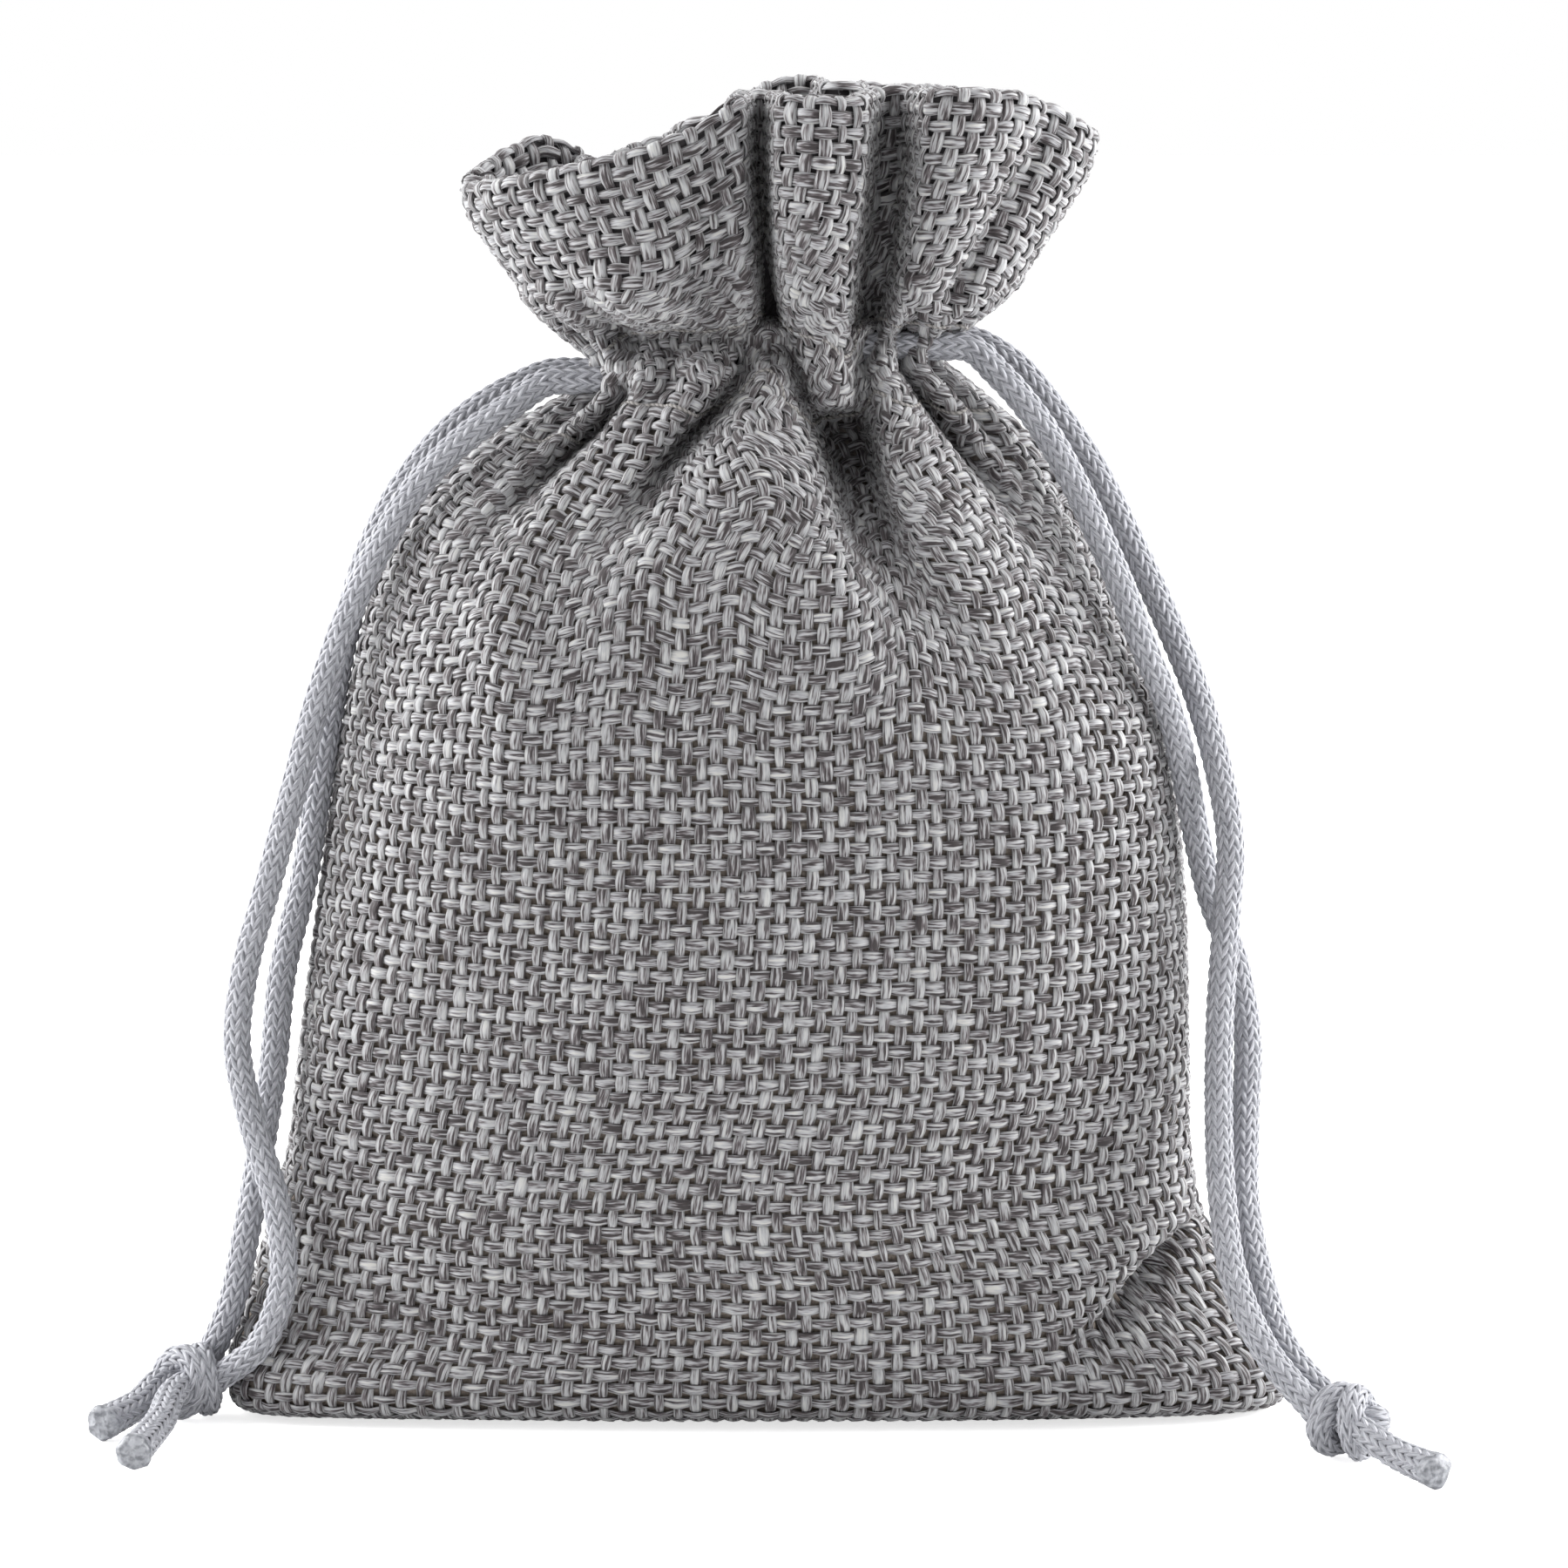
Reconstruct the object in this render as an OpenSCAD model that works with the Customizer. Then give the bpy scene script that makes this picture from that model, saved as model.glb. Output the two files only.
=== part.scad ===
// Drawstring gift pouch: a filled cloth bag, gathered at the neck by two braided cords

/* [Pouch] */
// Width across the two bottom corners
pouch_w = 100; // [94:1:108]
// Depth of the filled body, front to back
pouch_d = 48; // [44:1:52]
// Height of the gathered pouch, floor to rim
pouch_h = 126; // [120:1:134]
// Thickness of one layer of cloth
cloth_t = 0.9; // [0.7:0.1:1.0]
// Width of the seam allowance turned inside at each side
seam_w = 5; // [3:0.5:6]

/* [Neck] */
// Height of the gathered casing above the floor
casing_z = 95.8; // [90:0.2:100]
// Width of the gathered neck, side to side
neck_w = 33; // [32:0.5:36]
// Depth of the gathered neck, over its pleats
neck_d = 23; // [22.5:0.5:25]
// Width of the spread heading at its rim
heading_w = 60; // [52:1:66]
// Depth of the spread heading at its rim
heading_d = 36; // [32:1:40]
// Deepest pleat of the heading, at its rim
heading_fold = 8; // [4:0.5:10]

/* [Cords] */
// Diameter of the braided cord
cord_d = 2.8; // [2.5:0.1:2.9]
// How far each cord can still be drawn out of the neck
pull_travel = 6; // [3:0.5:7]
// Room left round a cord in its casing
cord_clear = 0.3; // [0.2:0.05:0.4]
// Diameter of the sewing thread
thread_d = 0.4; // [0.3:0.05:0.5]
// Length from one stitch to the next
stitch_pitch = 3; // [2.5:0.25:5]

/* [Hidden] */
columns = 40;            // steps across one half of the cloth
touch_gap = 0.05;        // what keeps two laid-on pieces from sharing a face
body_gap = 0.3;          // room between pieces that move apart

cord_r = cord_d / 2;
thread_r = thread_d / 2;
bend_r = 2 * cord_d;                             // tightest turn of a limp cord
cord_step = cord_d + cord_clear + 0.1;           // from the lower cord to the upper one
tunnel_h = cord_step + cord_d + 2 * cord_clear;
tunnel_y = bend_r + cord_r + cord_clear;         // half the depth that the cords take up
casing_h = tunnel_h + 2 * cloth_t;
casing_top = casing_z + casing_h;
left_z = casing_z + cloth_t + cord_clear + cord_r;
right_z = left_z + cord_step;
casing_fold = neck_d / 2 - tunnel_y - cloth_t;   // pleats stop short of the cords
turn_x = neck_w / 2 - cloth_t - cord_clear - cord_r;      // far side of each cord's turn
hem_x = turn_x - bend_r - pull_travel;                    // the hem leaves the turn its travel
hem_r = bend_r - cord_r - cord_clear;                     // and its ends follow the turn
heading_z = casing_top + body_gap;
heading_t = 2 * cloth_t;                         // the hem doubles the cloth there
exit_len = 0.7;                                  // what shows of a loop outside the casing
straight_len = 1.2;                              // a free cord's straight start
bend_room = 0.8;                                 // lets a free cord's end turn beside it
loop_end = neck_w / 2 + exit_len;
swing_x = loop_end + bend_room;                  // where the free cord bends down

// Pleat valleys from the left seam, -1, to the right seam, 1: [place, width]
front_pleats = [[-0.68, 0.08], [-0.4, 0.07], [-0.09, 0.07], [0.24, 0.08], [0.5, 0.07], [0.74, 0.08]];
back_pleats = [[-0.72, 0.08], [-0.44, 0.08], [-0.15, 0.08], [0.14, 0.08], [0.43, 0.08], [0.71, 0.08]];
// The heading opens into fewer, wider folds: [place, width, share of the deepest]
front_folds = [[-0.52, 0.12, 0.3], [-0.05, 0.08, 1], [0.25, 0.1, 0.95], [0.62, 0.12, 0.3]];
back_folds = [[-0.55, 0.12, 0.7], [-0.16, 0.1, 1], [0.2, 0.1, 0.85], [0.58, 0.12, 0.6]];

// Filled body, by height share of the way up to the casing:
// [height, half width share, half depth share, shift in x, roundness, pleat share]
body_rows = [
    [0.04, 1.00, 0.66, 0, 1.4, 0],
    [0.08, 0.95, 0.76, 0, 1.55, 0],
    [0.13, 0.86, 0.87, -0.5, 1.85, 0],
    [0.22, 0.83, 0.93, -1.2, 2.1, 0],
    [0.35, 0.83, 0.95, -1.6, 2.2, 0],
    [0.50, 0.81, 0.98, -0.8, 2.2, 0],
    [0.63, 0.78, 1.00, -0.2, 2.2, 0],
    [0.74, 0.72, 0.99, -0.8, 2.2, 0.06],
    [0.82, 0.67, 0.93, -1.2, 2.2, 0.22],
    [0.89, 0.61, 0.82, -1, 2.3, 0.5],
    [0.95, 0.54, 0.69, -0.4, 2.6, 0.8],
    [0.985, 0.44, 0.57, 0, 3, 0.95]
];
floor_row = [0.97, 0.52, 0, 1.4];                // outline of the bottom fold
neck_round = 4;
// Heading, by share of the way up to the rim: [height, share of the spread, fold share, roundness]
heading_rows = [
    [0, 0, 0.32, 3.6],
    [0.16, 0.38, 0.5, 3],
    [0.36, 0.7, 0.7, 2.6],
    [0.6, 0.9, 0.85, 2.4],
    [0.8, 1, 0.95, 2.3],
    [1, 1, 1, 2.2]
];
rim_left_drop = 11.5;    // how much lower the rim is at the left tip
rim_right_drop = 5.5;    // and at the right tip

knot_turn = 0.8 * cord_d;              // radius at the middle of a knot's turned cord
knot_wrap = 0.52 * cord_d;             // half the thickness of the turned cord
knot_r = knot_turn + knot_wrap;
left_knot_at = [-54, -12];             // where each knot lies on the floor
right_knot_at = [54.5, -28];
left_knot_way = [-0.85, -0.5, 0];      // along the cord, through the knot
right_knot_way = [0.8, -0.6, 0];
left_short_tip = [-7.5, -9];           // from each knot to the tip of a tail
left_long_tip = [-3.5, -20];
right_front_tip = [7, -11];
right_back_tip = [3, 8];

// Routes of the free cords for a pouch of 100 x 48 x 126, after the casing's end
left_front_route = [
    [-23.5, -6.5, 96], [-28, -7.5, 92.8], [-32.2, -8.5, 88.5], [-35.6, -9, 83], [-38.7, -9, 76],
    [-41.2, -8.5, 68.5], [-43.5, -8, 60], [-46, -8, 51], [-48.8, -9, 42.5], [-49.5, -10, 36],
    [-48, -11.5, 28.5], [-45.6, -12.8, 20.5], [-45.2, -13.6, 13], [-47.2, -13.8, 7.8]
];
left_back_route = [
    [-23.5, 4, 97], [-29, 2, 93.5], [-33.5, 0.5, 88.5], [-36.8, -1, 82.5], [-39.2, -2, 75],
    [-40.8, -2.5, 67], [-42, -3, 59.5], [-43.4, -3.5, 51], [-45.6, -4.5, 41.5], [-46.4, -6, 33],
    [-47.6, -7.4, 25], [-49, -8.6, 17], [-50.4, -9.4, 10.5]
];
right_front_route = [
    [22.5, -6.5, 99], [26.3, -7.5, 94.5], [29.5, -8.5, 89], [32.8, -9.5, 82], [35.8, -10, 74.5],
    [38.8, -8, 67], [40.3, -6.5, 61], [41.5, -5.5, 55], [43, -5, 49], [45.2, -6, 43],
    [46.3, -8, 36.5], [46, -11, 29], [45.8, -14.5, 22], [47, -18.5, 15], [49, -22.5, 9.5]
];
right_back_route = [
    [23.5, 4, 99.8], [28.3, 2.5, 95], [32.3, 1, 89.5], [35.5, -0.5, 83.5], [39, -2.2, 76],
    [42, -4.5, 68.5], [43.6, -7.5, 62], [44.4, -9.5, 55], [44, -10.8, 48], [43.4, -12.2, 39],
    [43.2, -14.5, 30], [43.4, -17.5, 22.5], [44.4, -20.8, 15.5], [46.8, -24.2, 10]
];

grey_cloth = "#8d8a89";
pale_cord = "#b4b5bb";
grey_thread = "#9b9997";

function mix(a, b, t) = a + (b - a) * t;

// Sum of the pleat valleys at u, each a smooth dip
function dips(pleats, u) =
    let (found = [for (p = pleats) (len(p) > 2 ? p[2] : 1) * exp(-pow((u - p[0]) / p[1], 2))])
    min(1, found * [for (f = found) 1]);

// A point of the cloth's plan at u: an ellipse squared or pointed by its roundness, dipped at its pleats.
// side is -1 for the front half and 1 for the back.
function plan_point(u, side, half_w, half_d, shift, roundness, depth, pleats) =
    let (
        angle = 90 * u,
        s = sin(angle),
        c = cos(angle),
        reach = pow(pow(abs(s), roundness) + pow(abs(c), roundness), -1 / roundness),
        x = half_w * reach * s,
        y = half_d * reach * c,
        away = norm([x, y]),
        shrink = 1 - depth * dips(pleats, u) * c * (2 - c) / away
    )
    [shift + x * shrink, abs(u) == 1 ? 0 : side * y * shrink];

function steps() = [for (i = [0 : columns]) 2 * i / columns - 1];

// One row of the cloth at a height, inset by t from its outer face
function cloth_row(side, z, half_w, half_d, shift, roundness, depth, pleats, t) =
    [for (u = steps())
        let (p = plan_point(u, side, half_w - t, half_d - t, shift, roundness, depth, pleats))
        [p[0], p[1], z]];

// A sheet between its outer rows and its inner rows, closed all round
module shell(outer, inner, side) {
    rows = len(outer);
    across = columns + 1;
    total = rows * across;
    points = [for (layer = [outer, inner]) for (row = layer) for (p = row) p];
    outer_faces = [for (r = [0 : rows - 2]) for (i = [0 : columns - 1])
        [r * across + i, r * across + i + 1, (r + 1) * across + i + 1, (r + 1) * across + i]];
    inner_faces = [for (f = outer_faces) [for (k = [3 : -1 : 0]) total + f[k]]];
    bottom = [for (i = [0 : columns - 1]) [i + 1, i, total + i, total + i + 1]];
    last = (rows - 1) * across;
    top = [for (i = [0 : columns - 1])
        [last + i, last + i + 1, total + last + i + 1, total + last + i]];
    left = [for (r = [0 : rows - 2])
        [r * across, (r + 1) * across, total + (r + 1) * across, total + r * across]];
    right = [for (f = left) [for (k = [3 : -1 : 0]) f[k] + columns]];
    quads = concat(outer_faces, inner_faces, bottom, top, left, right);
    triangles = [for (q = quads) for (t = [[q[0], q[1], q[2]], [q[0], q[2], q[3]]])
        side < 0 ? [t[2], t[1], t[0]] : t];
    polyhedron(points, triangles, convexity = 8);
}

function neck_row(side, z, pleats, t) =
    cloth_row(side, z, neck_w / 2, neck_d / 2, 0, neck_round, casing_fold, pleats, t);

function body_row(side, row, pleats, t) =
    cloth_row(
        side, row[0] * casing_z, row[1] * pouch_w / 2, row[2] * pouch_d / 2,
        row[3], row[4], row[5] * casing_fold, pleats, t
    );

function floor_outline(side, z, t) =
    cloth_row(side, z, floor_row[0] * pouch_w / 2, floor_row[1] * pouch_d / 2,
        floor_row[2], floor_row[3], 0, front_pleats, t);

module panel(side, pleats) {
    layers = [for (t = [0, cloth_t])
        concat(
            [floor_outline(side, cloth_t, t)],
            [for (row = body_rows) body_row(side, row, pleats, t)],
            [neck_row(side, casing_z, pleats, t)]
        )];
    shell(layers[0], layers[1], side);
}

// The cloth under the pouch, where front and back are one piece; the pouch stands on it
module bottom_fold() {
    front = floor_outline(-1, 0, 0);
    back = floor_outline(1, 0, 0);
    outline = concat(front, [for (i = [columns - 1 : -1 : 1]) back[i]]);
    color(grey_cloth)
        linear_extrude(cloth_t)
            polygon([for (p = outline) [p[0], p[1]]]);
}

module front_panel() {
    color(grey_cloth) panel(-1, front_pleats);
}

module back_panel() {
    color(grey_cloth) panel(1, back_pleats);
}

// Inner edge of a side seam at one body row, where the allowance fits between the panels
function seam_edge(row, side) =
    let (
        half_w = row[1] * pouch_w / 2 - cloth_t,
        half_d = row[2] * pouch_d / 2 - cloth_t,
        share = pow((cloth_t + 2 * touch_gap) / half_d, row[4])
    )
    [row[3] + side * (half_w * pow(1 - share, 1 / row[4]) - 3 * touch_gap), row[0] * casing_z];

seam_rows = [for (i = [1 : len(body_rows) - 2]) body_rows[i]];

module side_seam(side) {
    outer = [for (row = seam_rows) seam_edge(row, side)];
    inner = [for (i = [len(outer) - 1 : -1 : 0]) outer[i] - [side * seam_w, 0]];
    translate([0, cloth_t, 0])
        rotate([90, 0, 0])
            linear_extrude(2 * cloth_t)
                polygon(concat(outer, inner));
}

module left_side_seam() {
    color(grey_cloth) side_seam(-1);
}

module right_side_seam() {
    color(grey_cloth) side_seam(1);
}

// Place along a seam, a share of the way between two of its rows
function along_seam(side, z) =
    let (
        edge = [for (row = seam_rows) seam_edge(row, side)],
        i = max([for (k = [0 : len(edge) - 2]) edge[k][1] <= z ? k : 0])
    )
    mix(edge[i], edge[i + 1], (z - edge[i][1]) / (edge[i + 1][1] - edge[i][1]));

// Straight stitches in a row on the front of the allowance
module seam_thread(side) {
    low = seam_rows[0][0] * casing_z + 1;
    high = seam_rows[len(seam_rows) - 1][0] * casing_z - stitch_pitch;
    from_edge = 1.2;
    for (z = [low : stitch_pitch : high]) {
        start = along_seam(side, z);
        lean = along_seam(side, z + stitch_pitch) - start;
        translate([start[0] - side * from_edge, -cloth_t - thread_r - touch_gap, start[1]])
            rotate([0, atan2(lean[0], lean[1]), 0])
                cylinder(h = 0.75 * stitch_pitch, r = thread_r, $fn = 8);
    }
}

module left_seam_thread() {
    color(grey_thread) seam_thread(-1);
}

module right_seam_thread() {
    color(grey_thread) seam_thread(1);
}

// The hem's inner wall in plan, a slot with round ends
module hem_outline(r) {
    hull()
        for (x = [-hem_x, hem_x])
            translate([x, 0])
                circle(r = r, $fn = 48);
}

// Half of the gathered casing: pleated outside, room for both cords, hem round the way in
module casing(side, pleats) {
    outline = neck_row(side, 0, pleats, 0);
    clear = neck_w;
    difference() {
        translate([0, 0, casing_z])
            linear_extrude(casing_h)
                polygon([for (p = outline) [p[0], p[1]]]);
        translate([0, 0, casing_z + cloth_t])
            linear_extrude(tunnel_h)
                difference() {
                    square([2 * clear, 2 * tunnel_y], center = true);
                    hem_outline(hem_r);
                }
        translate([0, 0, casing_z - 1])
            linear_extrude(casing_h + 2)
                hem_outline(hem_r - cloth_t);
    }
}

module front_casing() {
    color(grey_cloth) casing(-1, front_pleats);
}

module back_casing() {
    color(grey_cloth) casing(1, back_pleats);
}

function unit(v) = v / norm(v);

// Directions along a route, and rings round it that turn with it
function way_at(route, i) =
    unit(route[min(i + 1, len(route) - 1)] - route[max(i - 1, 0)]);

function first_side(way) =
    unit(cross(abs(way[2]) < 0.8 ? [0, 0, 1] : [1, 0, 0], way));

function sides_along(route, i = 0, found = []) =
    i == len(route) ? found :
    let (
        way = way_at(route, i),
        last = i == 0 ? first_side(way) : found[i - 1],
        side = unit(last - (last * way) * way)
    )
    sides_along(route, i + 1, concat(found, [side]));

// A round tube along a route; radii gives the radius at each point
module tube(route, radii, sides = 8) {
    across = sides_along(route);
    points = [for (i = [0 : len(route) - 1])
        let (up = cross(way_at(route, i), across[i]))
        for (k = [0 : sides - 1])
            route[i] + radii[i] * (cos(360 * k / sides) * across[i] + sin(360 * k / sides) * up)];
    walls = [for (i = [0 : len(route) - 2]) for (k = [0 : sides - 1])
        let (n = (k + 1) % sides, a = i * sides, b = a + sides)
        for (t = [[a + k, b + k, b + n], [a + k, b + n, a + n]]) t];
    start = [for (k = [0 : sides - 1]) k];
    end = [for (k = [sides - 1 : -1 : 0]) (len(route) - 1) * sides + k];
    polyhedron(points, concat(walls, [start, end]), convexity = 6);
}

// A row of stitching round half of the casing, just outside its pleats
module casing_thread(side, pleats, z) {
    row = neck_row(side, z, pleats, -thread_r - touch_gap - 0.25);
    held = [for (p = row) if (abs(p[1]) > tunnel_y + cloth_t) p];
    tube(held, [for (p = held) thread_r], 6);
}

lower_stitch_z = casing_z + cloth_t / 2;
upper_stitch_z = casing_top - cloth_t / 2;

module front_lower_thread() {
    color(grey_thread) casing_thread(-1, front_pleats, lower_stitch_z);
}

module front_upper_thread() {
    color(grey_thread) casing_thread(-1, front_pleats, upper_stitch_z);
}

module back_lower_thread() {
    color(grey_thread) casing_thread(1, back_pleats, lower_stitch_z);
}

module back_upper_thread() {
    color(grey_thread) casing_thread(1, back_pleats, upper_stitch_z);
}

function rim_z(u) =
    pouch_h - rim_left_drop * pow((1 - u) / 2, 3) - rim_right_drop * pow((1 + u) / 2, 8);

// Half of the spread heading above the casing, folded at its rim
module heading(side, folds) {
    layers = [for (t = [0, heading_t]) [for (row = heading_rows)
        let (
            half_w = mix(neck_w, heading_w, row[1]) / 2 - t,
            half_d = mix(neck_d, heading_d, row[1]) / 2 - t,
            depth = heading_fold * row[2]
        )
        [for (u = steps())
            let (p = plan_point(u, side, half_w, half_d, 0, row[3], depth, folds))
            [p[0], p[1] + side * body_gap / 2, mix(heading_z, rim_z(u), row[0])]]
    ]];
    shell(layers[0], layers[1], side);
}

module front_heading() {
    color(grey_cloth) heading(-1, front_folds);
}

module back_heading() {
    color(grey_cloth) heading(1, back_folds);
}

// The part of a cord inside the casing: out along one side, round the far end and back
module cord_loop(side, z) {
    centre = side * (turn_x - bend_r);
    leg = loop_end + turn_x - bend_r;
    translate([centre, 0, z]) {
        rotate([0, 0, -90 * side])
            rotate_extrude(angle = 180, $fn = 64)
                translate([bend_r, 0])
                    circle(r = cord_r, $fn = 32);
        for (y = [-bend_r, bend_r])
            translate([0, y, 0])
                rotate([0, -90 * side, 0])
                    cylinder(h = leg, r = cord_r, $fn = 32);
    }
}

module left_cord_loop() {
    color(pale_cord) cord_loop(1, left_z);
}

module right_cord_loop() {
    color(pale_cord) cord_loop(-1, right_z);
}

fit = [pouch_w / 100, pouch_d / 48, pouch_h / 126];

function fitted(p) = [p[0] * fit[0], p[1] * fit[1], p[2] * fit[2]];

function knot_at(at) = [at[0] * fit[0], at[1] * fit[1], knot_r + touch_gap];

// Where a strand or a tail meets the knot, before it or past it along the cord and to one side
function knot_root(knot, way, along, across) =
    let (aside = unit(cross(way, [0, 0, 1])))
    knot + along * 1.1 * knot_wrap * unit(way) + across * (cord_r + body_gap / 2) * aside;

// A free cord from its bend beside the casing down to the knot
module strand(side, z, leg, route, knot, way) {
    bend = [side * swing_x, leg * bend_r, z];
    straight = bend + [side * straight_len, 0, 0];
    entry = knot_root(knot, way, -1, leg);
    path = concat([bend, straight], [for (p = route) fitted(p)], [entry]);
    radii = [for (i = [0 : len(path) - 1]) i == 0 ? cord_r / 2 : cord_r];
    tube(path, radii);
}

module left_front_strand() {
    color(pale_cord)
        strand(-1, left_z, -1, left_front_route, knot_at(left_knot_at), left_knot_way);
}

module left_back_strand() {
    color(pale_cord)
        strand(-1, left_z, 1, left_back_route, knot_at(left_knot_at), left_knot_way);
}

module right_front_strand() {
    color(pale_cord)
        strand(1, right_z, -1, right_front_route, knot_at(right_knot_at), right_knot_way);
}

module right_back_strand() {
    color(pale_cord)
        strand(1, right_z, 1, right_back_route, knot_at(right_knot_at), right_knot_way);
}

// An overhand knot: two turns of cord drawn tight round the pair
module knot(at, way) {
    translate(at)
        rotate([0, 90, atan2(way[1], way[0])]) {
            for (side = [-1, 1])
                translate([0, 0, 0.95 * side * knot_wrap])
                    rotate_extrude($fn = 64)
                        translate([knot_turn, 0])
                            circle(r = knot_wrap, $fn = 32);
            cylinder(h = 3 * knot_wrap, r = knot_turn, center = true, $fn = 48);
        }
}

module left_knot() {
    color(pale_cord) knot(knot_at(left_knot_at), left_knot_way);
}

module right_knot() {
    color(pale_cord) knot(knot_at(right_knot_at), right_knot_way);
}

// A cut end that leaves the knot and lies down on the floor; tip is measured from the knot
module tail(knot, way, across, tip) {
    root = knot_root(knot, way, 1, across);
    end = [knot[0] + tip[0], knot[1] + tip[1], cord_r + touch_gap];
    middle = [mix(root[0], end[0], 0.5), mix(root[1], end[1], 0.5), mix(root[2], end[2], 0.7)];
    path = [root, middle, end];
    tube(path, [for (p = path) cord_r]);
}

module left_short_tail() {
    color(pale_cord) tail(knot_at(left_knot_at), left_knot_way, 1, left_short_tip);
}

module left_long_tail() {
    color(pale_cord) tail(knot_at(left_knot_at), left_knot_way, -1, left_long_tip);
}

module right_front_tail() {
    color(pale_cord) tail(knot_at(right_knot_at), right_knot_way, 1, right_front_tip);
}

module right_back_tail() {
    color(pale_cord) tail(knot_at(right_knot_at), right_knot_way, -1, right_back_tip);
}

bottom_fold();
front_panel();
back_panel();
left_side_seam();
right_side_seam();
left_seam_thread();
right_seam_thread();
front_casing();
back_casing();
front_lower_thread();
front_upper_thread();
back_lower_thread();
back_upper_thread();
front_heading();
back_heading();
left_cord_loop();
left_front_strand();
left_back_strand();
left_knot();
left_short_tail();
left_long_tail();
right_cord_loop();
right_front_strand();
right_back_strand();
right_knot();
right_front_tail();
right_back_tail();
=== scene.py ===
import math

import bpy
import numpy as np
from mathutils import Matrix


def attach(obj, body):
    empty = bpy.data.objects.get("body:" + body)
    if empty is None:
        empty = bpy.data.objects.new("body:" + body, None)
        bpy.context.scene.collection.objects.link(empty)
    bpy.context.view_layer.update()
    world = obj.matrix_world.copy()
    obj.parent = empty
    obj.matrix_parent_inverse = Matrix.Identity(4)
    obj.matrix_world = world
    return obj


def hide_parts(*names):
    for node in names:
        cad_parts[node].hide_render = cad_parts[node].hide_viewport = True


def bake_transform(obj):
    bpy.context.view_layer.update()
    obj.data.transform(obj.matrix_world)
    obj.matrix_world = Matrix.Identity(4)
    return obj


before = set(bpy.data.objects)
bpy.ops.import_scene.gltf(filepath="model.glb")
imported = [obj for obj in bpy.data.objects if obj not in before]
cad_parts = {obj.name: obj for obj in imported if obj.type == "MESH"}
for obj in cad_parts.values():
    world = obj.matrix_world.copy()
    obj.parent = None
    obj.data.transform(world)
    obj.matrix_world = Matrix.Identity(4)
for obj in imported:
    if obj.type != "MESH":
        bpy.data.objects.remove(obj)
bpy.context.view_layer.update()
mm = 0.001


def linear(hexColour):
    # sRGB hex to the linear colour that Blender wants
    parts = [int(hexColour[i:i + 2], 16) / 255 for i in (1, 3, 5)]
    return [c / 12.92 if c <= 0.04045 else ((c + 0.055) / 1.055) ** 2.4 for c in parts] + [1]


def addNode(tree, kind, inputs=None, **settings):
    node = tree.nodes.new(kind)
    for name, value in settings.items():
        setattr(node, name, value)
    for socket, value in (inputs or {}).items():
        if isinstance(value, bpy.types.NodeSocket):
            tree.links.new(value, node.inputs[socket])
        else:
            node.inputs[socket].default_value = value
    return node


def newMaterial(name, **fixed):
    material = bpy.data.materials.new(name)
    material.use_nodes = True
    tree = material.node_tree
    shader = tree.nodes["Principled BSDF"]
    for socket, value in fixed.items():
        shader.inputs[socket.replace("_", " ")].default_value = value
    return material, tree, shader


def rampColour(tree, shader, level, stops):
    # colour by level, given to the shader
    ramp = addNode(tree, "ShaderNodeValToRGB", {"Fac": level})
    elements = ramp.color_ramp.elements
    while len(elements) < len(stops):
        elements.new(0.5)
    for element, (place, colour) in zip(elements, stops):
        element.position = place
        element.color = linear(colour)
    tree.links.new(ramp.outputs["Color"], shader.inputs["Base Color"])
    return ramp.outputs["Color"]


def runNoise(tree, scale, inputs, shift=(0, 0, 0)):
    # noise drawn out along a yarn or filament
    run = addNode(tree, "ShaderNodeUVMap", uv_map="yarnRun").outputs["UV"]
    at = addNode(tree, "ShaderNodeMapping", {"Vector": run, "Scale": scale, "Location": shift}).outputs[0]
    noise = addNode(tree, "ShaderNodeTexNoise", {"Vector": at, "Scale": 1.0, **inputs}, noise_dimensions="2D")
    return noise.outputs["Fac"]


def bumpUp(tree, shader, height, strength, depth):
    # depth in mm
    bump = addNode(tree, "ShaderNodeBump", {"Height": height, "Strength": strength, "Distance": depth * mm})
    tree.links.new(bump.outputs["Normal"], shader.inputs["Normal"])


def curveThrough(keys, values, at):
    # smooth curve through keyed values, read at the places given
    keys, values, at = np.asarray(keys, float), np.asarray(values, float), np.asarray(at, float)
    slopes = np.gradient(values, keys, axis=0)
    i = np.clip(np.searchsorted(keys, at, side="right") - 1, 0, len(keys) - 2)
    step = (keys[i + 1] - keys[i])[:, None]
    u = (at - keys[i])[:, None] / step
    return ((2 * u**3 - 3 * u**2 + 1) * values[i] + (u**3 - 2 * u**2 + u) * step * slopes[i]
            + (3 * u**2 - 2 * u**3) * values[i + 1] + (u**3 - u**2) * step * slopes[i + 1])


def unit(v):
    return v / np.maximum(np.linalg.norm(v, axis=-1, keepdims=True), 1e-12)


def smoothStep(t):
    return t * t * (3 - 2 * t)


def travelled(points, axis=0):
    # length run up to each point
    steps = np.linalg.norm(np.diff(points, axis=axis), axis=-1)
    start = np.zeros_like(np.take(steps, [0], axis=axis))
    return np.concatenate([start, np.cumsum(steps, axis=axis)], axis=axis)


def readAlong(at, keys, points):
    # points read at places along them, straight between the keys
    return np.stack([np.interp(at, keys, column) for column in points.T], -1)


def gridQuads(rows, columns, closed=False):
    # faces between neighbouring rows and columns of a grid of points
    row, col = np.arange(rows - 1)[:, None] * columns, np.arange(columns if closed else columns - 1)[None]
    after = (col + 1) % columns
    return np.stack([row + col, row + after, row + columns + after, row + columns + col], -1).reshape(-1, 4)


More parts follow.
